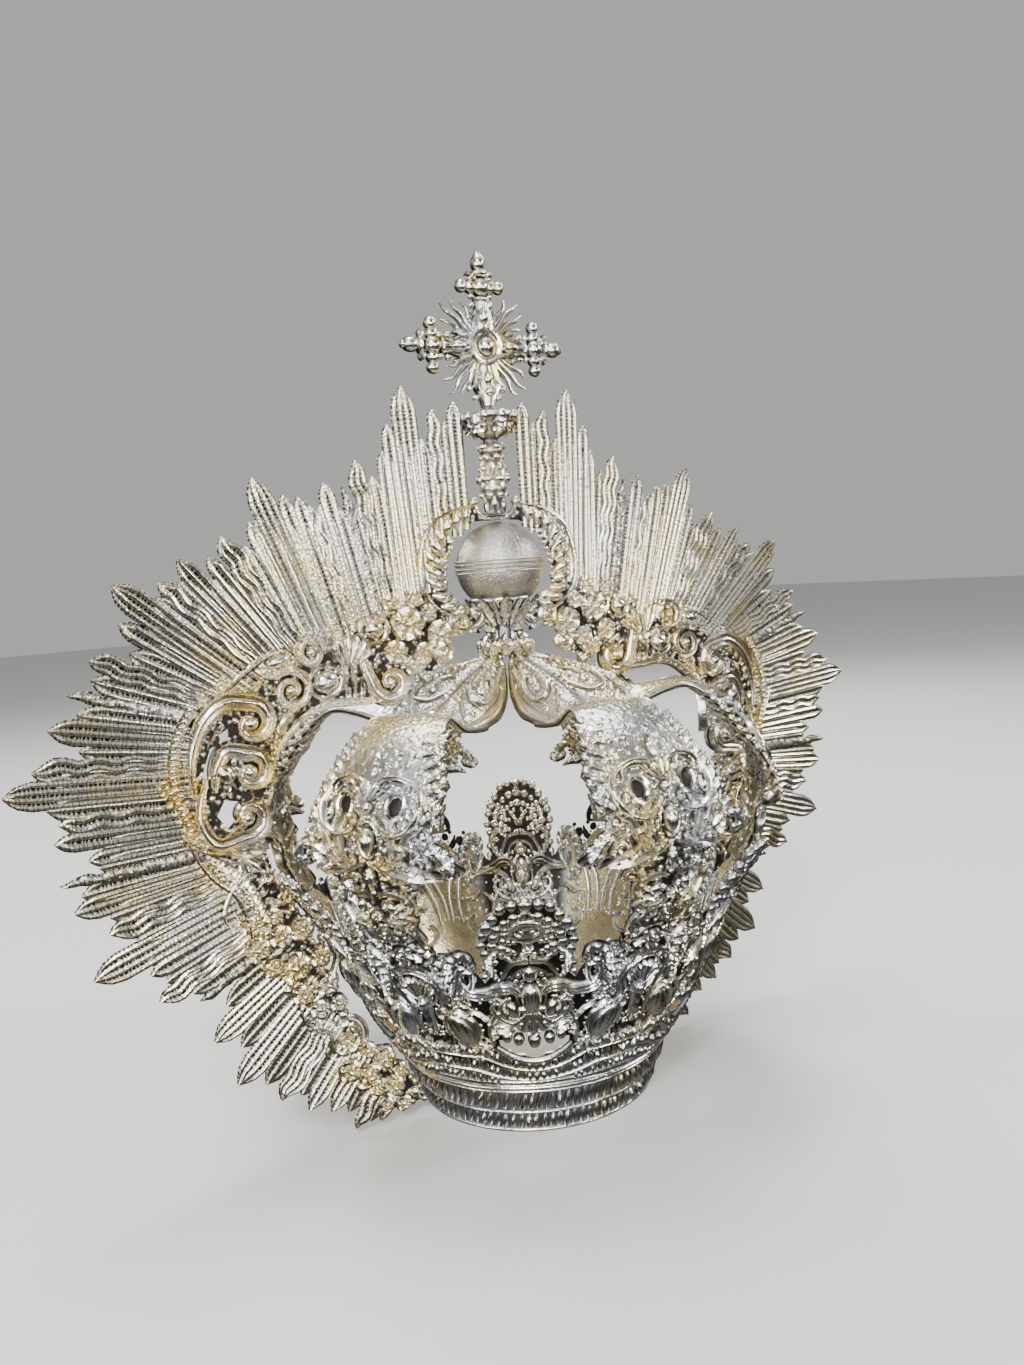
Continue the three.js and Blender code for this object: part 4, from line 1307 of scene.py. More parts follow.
# %% The serrated edge, right half
def lay_fringe(bench):
    """Leaves and knobs along the serrated edge, which show inside the crown as well."""
    low, high = PANEL
    for number, v in enumerate(np.arange(8, high + 4, 6.4)):
        edge = arch_half(v) if v < low - 4 or v > low + 22 else arch_half(v) - 4
        reach = 2.4 if number % 2 else 0.8
        bench.strip(through([(edge - 7.5, v - 5), (edge - 3, v - 1.5), (edge + reach, v + 3.4)], 1.2),
                    [0.8, 3.4, 3.0, 0.5], [1.8, 3.0, 1.6], "leaf", ribs=4, lobes=3)
        out = 0.2 if v > low else -2.2
        knobs = [(edge + out, v - 1.2, 0), (edge - 3.5, v + 2.4, 0), (edge - 8, v + 1, 0)]
        bench.grains(knobs, (2.1, 1.8, 1.6), BEAD)
    # A smooth wire edges the ribbon.
    ribbon = np.linspace(high + 2, RIBBON[1] + 6, 40)
    bench.strip(np.stack([arch_half(ribbon) - 0.4, ribbon], 1), [0.9, 1.5, 1.4], [1.2, 1.9, 1.9])
    # The pointed leaf, the hook under it, and the wing.
    bench.strip(through([(20, low + 37), (26.5, low + 32), (31, low + 27.5), (34.5, low + 22)], 1.2),
                [1.0, 4.6, 4.4, 0.5], [1.6, 3.4, 1.4], "leaf", ribs=6, across=9, lobes=3)
    hook = through([(29, low + 21), (32.5, low + 15), (38, low + 10), (41.5, low + 5.5), (40, low + 1.4),
                    (36.4, low + 2.2), (36.6, low + 5.6)], 1.0)
    bench.strip(hook, [1.6, 3.4, 3.6, 3.4, 2.2], [2.2, 3.4, 2.8], "leaf", ribs=8, lobes=5, across=9)
    bench.grains([(36.4, low + 5.2, 0), (33.4, low + 12.6, 1), (37.8, low + 12.4, 0), (41.4, low + 9.6, 0),
                  (39.2, low + 6.4, 1), (34.2, low + 18.4, 0), (39.8, low + 0.6, 0), (42.6, low + 3.2, 0)],
                 (2.4, 2.1, 1.9, 1.7, 1.9, 1.8, 1.9, 1.7), BEAD)
    bench.strip(through([(10, low + 4), (19, low + 3.6), (27, low + 0.5), (34, low - 4)], 1.2),
                [1.4, 4.2, 4.0, 0.6], [2.0, 4.0, 1.6], "leaf", ribs=8, across=9, lobes=4)


fringe = Bench(both=True)
lay_fringe(fringe)
fringe.mirror()
print("points in a fringe:", fringe.count)

# %% The panel, right half
arch_work = Bench()


def lay_panel(bench):
    low = PANEL[0]
    # A raised band sweeps from the boss round the eye and back over the top.
    sweep = through([(3.2, low + 23), (8, low + 18.5), (15.5, low + 17.5), (22.5, low + 21.5), (25, low + 30),
                     (21.5, low + 38.5), (13.5, low + 42.5), (5.5, low + 41.5), (1.4, low + 36.5)], 1.1)
    bench.strip(sweep, [1.0, 1.5, 1.7, 1.7, 1.5, 1.0], [2.4, 3.6, 3.6, 3.2, 2.4])
    bench.ring((EYE_OUT, EYE_ROW), 4.4, 1.2, ry=6.0, lift=0.6, turn=-8)
    bench.strip(scroll((6.8, EYE_ROW - 5.5), (17.5, EYE_ROW - 8.0), "bow", 1), [0.5, 1.7, 0.5], 2.6)
    bench.strip(scroll((7.5, EYE_ROW + 8.2), (18.5, EYE_ROW + 6.6), "bow", -1), [0.6, 2.0, 0.6], 3.0)
    bench.disc((20.6, EYE_ROW - 3.5), 2.0, 3.6, 3.0, turn=20, around=14)
    # Scrolls beside the boss.
    bench.strip(scroll((8.2, low + 21), (9.6, low + 8.5), "C", -1), [1.1, 2.3, 1.1], 4.0, "rim", across=9)
    bench.strip(scroll((24.5, low + 16.5), (14.5, low + 10), "S", 1), [1.1, 2.4, 1.1], 3.8, "rim", across=9)
    bench.disc((17.8, low + 12.8), 2.6, high=3.6, around=14)
    bench.strip(through([(26, low + 18), (28.5, low + 12), (33, low + 7)], 1.2), [0.8, 2.4, 0.6], 3.0, "leaf",
                ribs=6, lobes=4)
    # The broad wing below, and the leaf under it.
    wing = through([(3, low + 5.5), (9, low + 3.5), (17, low + 4.6), (25, low + 2.8), (33, low - 2.5)], 1.0)
    bench.strip(wing, [1.6, 3.6, 4.2, 3.6, 0.5], [3.0, 4.8, 4.8, 2.0], "rim", across=9)
    bench.strip(through([(4, low - 3), (11, low - 3.2), (18, low - 6), (22, low - 11)], 1.0), [1.0, 3.0, 0.5],
                [2.4, 4.0, 1.6], "leaf", ribs=8, lobes=4, across=9)
    # Low leaves over the plain upper part.
    for u, v, reach in ((5, 45, 6), (12.5, 46, 6), (19, 43, 6), (8.5, 52, 5), (15, 51.5, 5)):
        bench.strip(through([(u, low + v), (u + 1.6, low + v + reach / 2), (u + 1, low + v + reach)], 1.2),
                    [0.5, 2.0, 0.4], [0.8, 1.8, 0.8], "leaf", ribs=4)


lay_panel(arch_work)
print("points in half a panel:", arch_work.count)

# %% The narrow part below the panel
def lay_lower(bench):
    low = PANEL[0]
    bench.strip(scroll((8, 12), (11.5, 3), "C", -1), [0.9, 1.8, 0.9], 2.6, "rim", across=9)
    curl = through([(2.4, low - 11), (7, low - 9), (13, low - 10.5), (15.5, low - 16), (12.5, low - 22),
                    (6, low - 23), (2.6, low - 20)], 1.1)
    bench.strip(curl, [1.0, 2.0, 2.4, 2.0, 1.0], [2.4, 3.8, 3.8, 2.4], "rim", across=9)
    bench.disc((7.6, low - 16), 2.4, 3.4, 3.0, turn=20, around=14)
    bench.strip(through([(6, 18), (11, 20), (16.5, 17)], 1.0), [0.7, 2.4, 0.4], 2.6, "leaf", ribs=6, lobes=4)


lay_lower(arch_work)
print("with the part below it:", arch_work.count)

# %% The bell-shaped foot
def flank(start, rows):
    """Places on the bell's flank: share of the way from ridge to edge, and length from its start."""
    return [(share * arch_half(start + v), start + v) for share, v in rows]


def lay_foot(bench):
    start, end = FOOT
    rim = np.linspace(start - 14, end - 3, 70)
    inset = np.interp(rim, [start - 14, start + 14], [0.4, 1.4])
    bench.strip(np.stack([arch_half(rim) - inset, rim], 1), [1.2, 1.6, 1.8, 1.3, 0.8, 0.4],
                [1.2, 1.7, 1.6, 1.2, 0.8])
    inner = np.linspace(start + 6, end - 16, 50)
    bench.strip(np.stack([arch_half(inner) * 0.68 - 0.6, inner], 1), [0.3, 0.5, 0.5, 0.25], [0.8, 1.2, 0.8])
    loop = [(0.30, 46), (0.16, 30), (0.22, 14), (0.48, 7), (0.66, 13), (0.62, 24), (0.44, 30), (0.34, 22),
            (0.46, 16)]
    bench.strip(through(flank(start, loop), 1.2), [0.35, 0.8, 0.9, 0.8, 0.5], [1.2, 2.2, 2.4, 1.8])
    bench.disc(flank(start, [(0.47, 17)])[0], 1.5, 3.0, 2.0, around=12)
    leaf = through(flank(start, [(0.62, 32), (0.55, 42), (0.40, 54)]), 1.2)
    bench.strip(leaf, [0.3, 0.9, 0.6, 0.2], [1.0, 2.0, 0.8], "leaf", ribs=7)
    curl = through(flank(start, [(0.72, -6), (0.5, -2), (0.3, 3), (0.14, 10)]), 1.2)
    bench.strip(curl, [0.5, 1.5, 1.3, 0.3], [1.0, 2.2, 1.0], "leaf", ribs=8, lobes=4)
    for v in np.arange(start + 2, end - 26, 3.8):
        scale = [(0.9 + 0.22 * arch_half(v), v - 2.2), (0.5, v + 2.4)]
        bench.strip(through(scale, 1.0), [0.7, 1.7, 0.4], [1.2, 2.4, 1.2], "leaf", ribs=3)
    for share, v in ((0.72, 2), (0.28, 2), (0.78, 36), (0.12, 20)):
        bench.grains([(share * arch_half(start + v), start + v, 0.3)], 1.1, GRAIN)


lay_foot(arch_work)
print("and with the foot:", arch_work.count)

# %% The ground of knobs, the pieces on the middle line, and six copies
def panel_ground(u, v):
    eye = math.hypot((u - EYE_OUT) / 5, (v - EYE_ROW) / 6.5)
    return u < leafy_half(v) - 1.5 and eye > 1


def lay_panel_middle(bench):
    low = PANEL[0]
    bench.disc((0, low + 15), 4.0, 5.6, 5.4, rings=7)
    bench.ring((0, low + 15), 5.4, 0.9, ry=7.2, lift=0.5)
    for angle in np.linspace(0, 2 * math.pi, 22, endpoint=False):
        bench.grains([(7.2 * math.cos(angle), low + 15 + 9.2 * math.sin(angle), 0.8)], 1.15, GRAIN)
    bench.shell((0, low + 29), 90, 12.5, 96, 5, 3.6)
    bench.disc((0, low + 28), 2.6, high=3.8)
    bench.strip(through([(0, low + 43), (0, low + 49), (0, low + 54)], 1.0), [1.2, 2.6, 0.4], 2.4, "leaf",
                ribs=6)
    bench.strip(through([(0, low + 3), (0, low - 3), (0, low - 9)], 1.0), [2.6, 4.0, 0.5], [3.6, 4.6, 1.6],
                "leaf", ribs=6, lobes=4, across=9)


def lay_foot_middle(bench):
    bench.disc((0, 10.5), 4.4, high=3.4, petals=6)
    bench.disc((0, 21), 3.2, 3.8, high=3.2, petals=5)


# The eyes are low discs painted black, as the shade in their deep hollows.
eyes = Bench()
eyes.disc((EYE_OUT, EYE_ROW), 3.4, 5.0, 0.7, turn=-8)
eyes.mirror()
lay_filling(arch_work, ((0, 2), (32, PANEL[0] + 44)), panel_ground, seed=12, pitch=4.2, size=(1.0, 1.8))
arch_work.mirror()
lay_panel_middle(arch_work)
lay_foot_middle(arch_work)
for name, azimuth in ARCHES.items():
    piece = arch_work.make(name + "_chasing", arch_at(azimuth), ARCH_SILVER)
    piece = fringe.make(name + "_fringe", arch_at(azimuth), ARCH_SILVER, sunk=ARCH_SHEET / 2)
    piece = eyes.make(name + "_eyes", arch_at(azimuth), EYE_PAINTED_SHADE)

# %% [markdown]
# ## The globe, its cup and the stem
# These are turned on a lathe: a profile of a few points is spun round the crown's axis, as the real ones
# were spun over a form or cast and turned.

# %% Turning a profile
def turned(name, profile, steps, material, slot):
    """Spins a profile of (radius, height) points about the crown's axis."""
    deselect()
    bpy.ops.mesh.primitive_plane_add(size=1)
    piece = added(name)
    edit(piece, bpy.ops.mesh.delete, type="VERT")
    line = through(profile, 0.8)
    line[:, 0] = np.clip(line[:, 0], 0, None)
    line[0, 0] = line[-1, 0] = 0
    mesh = bmesh.new()
    verts = [mesh.verts.new((r * MM, 0, z * MM)) for r, z in line]
    for a, b in zip(verts, verts[1:]):
        mesh.edges.new((a, b))
    mesh.to_mesh(piece.data)
    mesh.free()
    edit(piece, bpy.ops.mesh.spin, steps=steps, angle=2 * math.pi, center=(0, 0, 0), axis=(0, 0, 1))
    edit(piece, bpy.ops.mesh.remove_doubles, threshold=0.00002)
    edit(piece, bpy.ops.mesh.normals_make_consistent, inside=False)
    # Painted shade: where the piece draws in, its points are darker, and where it swells, lighter.
    radius = np.hypot(*points_of(piece)[:, :2].T) / MM
    near = np.interp(points_of(piece)[:, 2] / MM, *zip(*sorted((z, r) for r, z in profile)))
    set_rise(piece, np.clip(0.45 + (radius - near.mean()) * 0.08, 0.25, 1))
    smooth_by_angle(piece, 50)
    piece.data.materials.append(material)
    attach(piece, "root")
    print(name, len(piece.data.polygons), "faces")
    return piece


ORB_LOW, ORB_HIGH = (corner[2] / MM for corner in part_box("orb"))
ORB_Z = (ORB_LOW + ORB_HIGH) / 2
ORB_R = (ORB_HIGH - ORB_LOW) / 2
print(f"globe of radius {ORB_R:.1f} at {ORB_Z:.1f}")

# %% The globe
deselect()
bpy.ops.mesh.primitive_uv_sphere_add(
    segments=64, ring_count=40, radius=ORB_R * MM, location=(0, 0, ORB_Z * MM),
)
globe = added("globe")
set_rise(globe, 0.62)
smooth_by_angle(globe, 40)
globe.data.materials.append(GLOBE_SILVER)
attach(globe, "root")
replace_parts(globe, "orb")


def on_globe(u, v):
    """Bench to globe: u round its equator, v up from it."""
    a, b = u / ORB_R, v / ORB_R
    return np.stack([
        ORB_R * np.sin(a) * np.cos(b), -ORB_R * np.cos(a) * np.cos(b), ORB_Z + ORB_R * np.sin(b),
    ], 1)


bands = Bench()
turn = np.linspace(-math.pi, math.pi, 97) * ORB_R
for v, half, high in ((-2.9, 0.75, 0.75), (-0.9, 0.7, 0.95), (1.1, 0.7, 0.95), (3.0, 0.75, 0.75)):
    bands.strip(np.stack([turn, np.full(97, v)], 1), half, high, sink=0.3, across=5)
for side in (-1.5, 1.5):
    rising = np.linspace(3.2, ORB_R * 1.38, 24)
    for u in (side, side + math.pi * ORB_R):
        bands.strip(np.stack([np.full(24, u), rising], 1), [0.55, 0.5, 0.2], 0.5, sink=0.3, across=5)
globe_bands = bands.make("globe_bands", on_globe, GLOBE_SILVER)

# %% The cup under the globe
CUP = [
    (0, 228.3), (10, 228.4), (13, 230), (11.5, 233), (8.5, 236), (7.4, 239.5), (7.6, 243), (11, 247.5),
    (15, 252), (17, 255), (15.8, 255.7), (10, 251.4), (6, 249.8), (0, 249.2),
]
cup = turned("cup", CUP, 48, ARCH_SILVER, "chased_silver")
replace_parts(cup, "orb_collar")


def lathe_surface(profile):
    """Bench to a turned form: u is degrees round the axis, v the height."""
    heights, radii = zip(*[(z, r) for r, z in profile])

    def surface(u, v):
        r = np.interp(v, heights, radii)
        a = np.radians(u)
        return np.stack([r * np.sin(a), -r * np.cos(a), v], 1)
    return surface


cup_outside = [(r, z) for r, z in CUP[1:10]] + [(19.5, 257.8)]
cup_leaves = Bench()
for number in range(8):
    u = number * 45 + 22.5
    line = np.column_stack([np.full(12, u), np.linspace(240.5, 256.6, 12), np.linspace(0, 0.8, 12)])
    cup_leaves.strip(line, [9, 19, 21, 5], [1.0, 1.7, 1.2], "leaf", ribs=5, across=9, lobes=3)
    cup_leaves.strip(line + (22.5, -2, 0), [6, 11, 3], [0.8, 1.2, 0.8], "leaf", ribs=4, across=7)
for number in range(12):
    u = number * 30
    line = np.column_stack([np.full(8, u), np.linspace(239, 231.5, 8), np.linspace(0.3, 0.2, 8)])
    cup_leaves.strip(line, [7, 14, 3], [0.8, 2.0, 0.8], "leaf", ribs=3, across=7)
    ball = [(u, 229.8, 0.6), (u + 15, 232.2, 0.4)]
    cup_leaves.grains(ball, 1, drawn_out(BEAD, 12, 2.5, 2.5))
for number in range(6):
    # Curled leaves stand out round the cup's neck.
    u = number * 60
    rising = np.array([0, 0.25, 0.5, 0.75, 1])
    line = np.column_stack([np.full(5, u), 242.5 - 7 * rising**2, 0.5 + 7 * np.sin(rising * 1.7)])
    cup_leaves.strip(line, [10, 15, 14, 7], [1.6, 2.2, 2.4, 1.6], across=7)
    cup_leaves.grains([(u, 236.5, 7.4)], 1, drawn_out(BEAD, 11, 2.7, 2.7))
cup_work = cup_leaves.make("cup_leaves", lathe_surface(cup_outside), ARCH_SILVER)

# %% The stem under the cross
STEM = [
    (0, 298.4), (4.7, 298.4), (4.2, 303), (5.5, 306.5), (7, 311), (6, 316), (5.8, 323), (4.2, 326),
    (6.2, 330), (3.8, 335), (8, 339), (13, 346), (11.5, 348.5), (4, 346.5), (3, 352), (0, 352),
]
STEM_SIDE = STEM[1:12]
STEM_RADII, STEM_HEIGHTS = zip(*STEM_SIDE)
# Height, number and radius of the beads in each row round the stem.
STEM_BEADS = (
    (307.6, 7, 1.7), (315.6, 6, 2.6), (320.8, 5, 1.6), (326.6, 6, 1.8), (331.6, 5, 1.8), (341.8, 8, 2.1),
    (346.4, 9, 2.5),
)
stem = turned("stem", STEM, 36, CAST_SILVER, "cast_silver")
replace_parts(stem, "cross_stem")
stem_work = Bench()
for number in range(6):
    u = number * 60 + 30
    foot = np.column_stack([np.full(9, u), np.linspace(298.8, 306.8, 9), np.full(9, 0.1)])
    stem_work.strip(foot, [16, 26, 8], [1.2, 2.6, 0.8])
    ruffle = np.column_stack([np.full(10, u - 30), np.linspace(337, 346.8, 10), np.linspace(0.2, 1.0, 10)])
    stem_work.strip(ruffle, [14, 30, 26, 9], [1.4, 3.2, 2.8, 1.2], "leaf", ribs=4, across=9, lobes=2)
    neck = np.column_stack([np.full(9, u), np.linspace(314.5, 325, 9)])
    stem_work.strip(neck, [8, 20, 8], [0.6, 1.4, 0.6], "leaf", ribs=4, across=7)
for z, count, radius in STEM_BEADS:
    wide = math.degrees(1 / np.interp(z, STEM_HEIGHTS, STEM_RADII))
    for number in range(count):
        stem_work.grains([(number * 360 / count, z, 0.3)], radius, drawn_out(BEAD, wide, 1, 1))
leaves = stem_work.make("stem_leaves", lathe_surface(STEM_SIDE), CAST_SILVER)

# %% [markdown]
# ## The cross
# Three equal arms of cast balls, collars and ruffled leaves, a lower arm that ends in a leaf skirt, a domed
# centre in a plain ring, and wavy rays of glory in the corners. It is laid flat like the halo, with
# the same work on both faces; one arm is laid and then turned for the others.

# %% One arm and its turned copies
CROSS_Z = 381
cross = Bench(both=True)


def copies_turned(bench, angles):
    """Copies all that is laid so far, turned about the cross's middle."""
    points, quads, tris = np.vstack(bench.points), np.vstack(bench.quads), np.vstack(bench.tris)
    rises, alongs = np.concatenate(bench.rises), np.concatenate(bench.alongs)
    for angle in angles:
        c, s = math.cos(math.radians(angle)), math.sin(math.radians(angle))
        turn = np.array([[c, s, 0], [-s, c, 0], [0, 0, 1]])
        bench.lay(points @ turn, rises, alongs, quads, tris)


def lay_arm(bench):
    """The upper arm: a shaft with an oval boss, a row of balls across, a collar and an end ball."""
    bench.strip(through([(0, 7.5), (0, 13), (0, 18), (0, 24)], 1.0), [5.4, 6.4, 5.4, 3.6, 4.4],
                [3.0, 3.0, 2.8, 2.8], "crown", across=13)
    bench.disc((0, 14.8), 3.3, 5.0, 5.2, rings=7, around=20)
    for side in (-1, 1):
        ruff = through([(side * 4, 10), (side * 6.6, 13.6), (side * 6.8, 18.2)], 0.8)
        bench.strip(ruff, [0.9, 2.2, 0.6], [2.0, 3.0, 1.4], "leaf", ribs=4, lobes=3)
        bench.grains([(side * 5.2, 20.6, 0), (side * 5.0, 24.8, 0), (side * 4.8, 33.4, 0)], 1.8, BEAD)
        bench.disc((side * 5.6, 29.2), 3.4, 3.6, 3.4, rings=5, around=14)
        bench.disc((side * 10.6, 29.4), 3.2, 3.4, 3.2, rings=5, around=14)
        curl = through([(side * 2, 32.6), (side * 5.2, 35.8), (side * 7.4, 35)], 0.8)
        bench.strip(curl, [0.9, 1.9, 0.6], 2.6, "leaf", ribs=3)
    bench.disc((0, 29.2), 4.6, 4.8, 5.2, rings=6)
    bench.disc((0, 23.4), 4.6, 1.7, 3.6, rings=4)
    bench.disc((0, 35.8), 4.8, 2.0, 4.0, rings=4)
    bench.disc((0, 40.8), 3.7, 4.6, 4.2, rings=6)
    bench.disc((0, 45.0), 2.0, 1.6, 2.0, rings=4)


lay_arm(cross)
copies_turned(cross, (-90, 90))
print("points in three arms:", cross.count)

# %% The lower arm
def lay_lower_arm(bench):
    """The lower arm widens to a skirt of leaves."""
    bench.strip(through([(0, -8), (0, -15), (0, -22), (0, -26), (0, -30)], 1.0), [5.4, 7.0, 8.4, 4.8, 3.2],
                [3.0, 3.2, 3.4, 3.0, 2.6], "crown", across=13)
    bench.disc((0, -15.5), 2.8, 4.6, 5.0, rings=7, around=20)
    bench.disc((0, -22.0), 2.6, 3.0, 4.6, rings=6, around=16)
    for side in (-1, 1):
        skirt = through([(side * 2.4, -12), (side * 5.2, -17), (side * 9.4, -20.6)], 0.8)
        bench.strip(skirt, [1.1, 2.8, 0.6], [2.2, 3.4, 1.6], "leaf", ribs=5, lobes=3)
        under = through([(side * 1.4, -17), (side * 3.4, -22), (side * 5.6, -25)], 0.8)
        bench.strip(under, [1.0, 2.4, 0.6], [2.0, 3.4, 1.4], "leaf", ribs=4)
        bench.grains([(side * 9.4, -20.2, 0), (side * 6.4, -24.8, 0), (side * 5.6, -10.4, 0)], 2.0, BEAD)


lay_lower_arm(cross)
print("points in four arms:", cross.count)

# %% The cross's centre and rays
def lay_centre(bench):
    """The dome in its ring, and wavy rays of glory in the four corners."""
    bench.disc((0, 0), 9.4, high=2.8, rings=4, around=28)
    for face in (-1, 1):
        bench.ring((0, 0), 7.7, 1.5, lift=face * 3.0, around=32)
    bench.disc((0, 0), 5.5, high=6.8, rings=8, around=28)
    chance = random.Random(3)
    for corner in (45, 135, 225, 315):
        for off, far in ((-19, 24), (-8, 29), (3, 31), (14, 27)):
            angle = math.radians(corner + off)
            s = np.linspace(0, 1, 16)
            radius = 8 + (far - 8) * s
            sway = 1.1 * np.sin(2 * np.pi * (s * 1.5 + chance.random())) * s
            line = np.stack([radius * math.cos(angle) - sway * math.sin(angle),
                             radius * math.sin(angle) + sway * math.cos(angle)], 1)
            bench.strip(line, [1.8, 1.5, 1.2, 0.4], [1.5, 1.4, 1.2, 0.5], across=5)


lay_centre(cross)


def cross_plane(u, v):
    return np.stack([u, np.zeros_like(u), v + CROSS_Z], 1)


cross_piece = cross.make("cross_work", cross_plane, CAST_SILVER, angle=45)
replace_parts(cross_piece, "cross")

# %% [markdown]
# ## The band's ornament
# From the globe outwards: a laurel loop, a cluster of small flowers, two large ribbed shells in scrolls,
# three volutes round pierced places, a beaded strip, a ribbed arch with beads, and rosettes down to the base.

# %% The loops beside the globe
band = Bench(both=True)
LAUREL_LEAVES = 11


def lay_loop(bench):
    """A round wire, and inside it laurel leaves that slant in and down."""
    wire = through([(14, 303), (22, 301.5), (33, 297.5), (41.5, 289), (45.5, 276), (44.5, 262), (38, 253),
                    (28, 247.5)])
    bench.strip(wire, [1.0, 1.7, 1.9, 1.7, 1.2], [1.8, 2.8, 2.8, 2.2])
    stem_line = through([(15, 299.5), (24, 296.8), (33, 290.5), (37.6, 280), (38, 266), (33, 256),
                         (25, 250)], 1.0)
    for share in np.linspace(0.03, 0.97, LAUREL_LEAVES):
        at = min(int(share * len(stem_line)), len(stem_line) - 2)
        (x, z), (ahead_x, ahead_z) = stem_line[at], stem_line[at + 1]
        heading = math.atan2(ahead_z - z, ahead_x - x)
        reach = 5.4 + 2.2 * math.sin(math.pi * share)
        slant = heading - math.radians(52)
        root = (x - 0.7 * reach * math.cos(slant), z - 0.7 * reach * math.sin(slant))
        tip = (x + 0.95 * reach * math.cos(slant), z + 0.95 * reach * math.sin(slant))
        bow = (x + 1.1 * math.cos(heading), z + 1.1 * math.sin(heading))
        bench.strip(through([root, bow, tip], 1.0), [1.0, 2.9, 3.1, 1.7], [1.6, 4.2, 4.4, 2.2], across=7)
    bench.strip(scroll((29, 246.6), (17.2, 248.6), "volute", -1), [2.0, 1.8, 1.2], [2.8, 2.6, 2.2])
    bench.disc((17.2, 248.8), 2.6, high=2.6)
    bench.strip(through([(-1, 296.4), (5.5, 296.4), (9.5, 298.4), (12, 303)], 1.0), [1.3, 1.4, 1.6, 1.0], 1.5)
    bench.disc((12.4, 304.4), 2.6, high=2.4)


lay_loop(band)
print("points in a loop:", band.count)

# %% The flowers: x, z, radius and number of petals, 0 for a plain bead
CLUSTER = [
    (55, 247, 10.2, 5), (38, 240.5, 8.8, 5), (47.5, 232, 6.6, 5), (62.5, 234, 7.2, 5), (43.5, 251.5, 5.6, 5),
    (51, 259, 5.4, 5), (63.5, 257.5, 4.8, 5), (54, 225.5, 4.8, 5), (47, 219.4, 3.0, 0), (57, 229, 3.0, 0),
]
LOWER_FLOWERS = [
    (144, 104.5, 7.4, 6), (132.5, 108, 7.0, 5), (122.5, 109.5, 7.2, 6), (127.5, 92, 9.6, 6),
    (114.5, 94, 6.4, 5), (138.5, 94, 5.2, 5), (112.5, 80, 7.2, 5), (124.5, 77.5, 6.4, 5), (117, 68.5, 6.0, 5),
    (107.5, 69, 5.2, 5), (120, 60.5, 4.8, 5), (105, 34, 7.0, 5), (95.5, 30, 5.8, 5), (87, 35.5, 7.0, 6),
    (95, 41.5, 4.8, 5), (92, 21.5, 5.2, 5), (83, 19.5, 6.6, 7), (79, 27.5, 4.4, 5), (78.5, 9.5, 4.8, 5),
    (87.5, 11.5, 4.2, 5), (99, 23.5, 3.4, 0), (71.5, 13, 3.4, 0), (147, 117, 4.6, 5), (135, 118, 5.2, 5),
    (105.5, 62.5, 3.2, 0), (131, 81.5, 3.2, 0),
]


def lay_flowers(bench, rows):
    for x, z, r, petals in rows:
        bench.disc((x, z), r, high=2.0 + r * 0.4, petals=petals, turn=(x * 7) % 60,
                   around=24 if petals else 12)
        if r > 6:
            bench.disc((x, z), r * 0.36, high=3.4 + r * 0.4, around=10)


lay_flowers(band, CLUSTER)
print(len(CLUSTER), "flowers under the loop and", len(LOWER_FLOWERS), "on the legs")

# %% Shells in scrolls
def lay_boss(bench, at, rx, ry, high, turn):
    """A smooth oval in a raised frame."""
    bench.disc(at, rx, ry, high, turn=turn, around=16)
    bench.ring(at, rx + 2, 1.4, ry=ry + 2, turn=turn, around=20)


def lay_shells(bench):
    # Cupped petals: one at the loop's foot, one hanging below the cluster.
    for place, reach, tall in (((26.5, 245.5), 4.8, 4.2), ((36, 230.5), 5.0, 4.4)):
        bench.ring(place, reach, 1.7, ry=tall, around=20)
        bench.disc(place, reach - 1, tall - 1, 2.2, around=12)
    bench.chase([(45, 234), (48, 227), (52.5, 219)], [1.4, 3.4, 0.4], [2.4, 4.0, 1.2], "leaf",
                ribs=7, across=9, lobes=4)
    lay_boss(bench, (72.5, 246), 5.2, 5.2, 4.4, 0)
    # A volute, its calyx, and a fan of leaves.
    bench.strip(spiral([(82, 241), (79.5, 229), (76, 218)], (67, 219.5), 8.4, 1.1, -35, -1),
                [1.4, 3.6, 4.4, 3.6, 1.6], [2.4, 4.8, 5.0, 3.6], "crown", across=11)
    bench.disc((67, 219.5), 3.4, high=5.2, around=12)
    for x in (80.5, 85, 89.5):
        leaf = through([(x + 1, 238), (x - 0.5, 227), (x, 215.5)])
        bench.strip(leaf, [1.2, 2.4, 0.8], [2.6, 4.0, 2.4], "leaf", ribs=9)
    bench.shell((88, 227), 102, 19, 104, 6, 4.2)
    # Golden bosses and scrolls up to the first volute.
    lay_boss(bench, (99, 223.5), 6.6, 5.6, 4.8, -20)
    bench.strip(spiral([(91, 244), (98, 246.5)], (105.5, 238), 7.4, 1.3, 115, -1), [1.2, 2.6, 2.4, 1.4],
                [2.6, 4.2, 3.6], "rim", across=9)
    bench.disc((105.5, 238), 2.6, high=4.4, around=12)
    lay_boss(bench, (121, 235.5), 6.4, 3.4, 3.8, -14)
    bench.strip(spiral([(133, 224), (129.5, 230)], (117, 221.5), 10.0, 1.6, 48, 1), [1.2, 2.6, 2.6, 2.2, 1.4],
                [2.6, 4.4, 4.0, 3.4], "rim", across=9)
    bench.disc((117, 221.5), 3.0, high=4.8, around=12)
    edge = through([(61, 214.3), (72, 212.6), (86, 212.6), (99, 213.2), (111, 209), (121, 200.5), (128, 193)])
    bench.strip(edge, [1.4, 2.4, 2.4, 2.2, 1.2], 3.6, "rim", across=9)
    leaf = through([(111, 215), (119, 209.5), (124.5, 202), (127, 195)])
    bench.strip(leaf, [1.2, 3.6, 3.2, 0.6], [2.4, 4.2, 2], "leaf", ribs=9, across=9, lobes=4)


lay_shells(band)
print("points with the shells:", band.count)

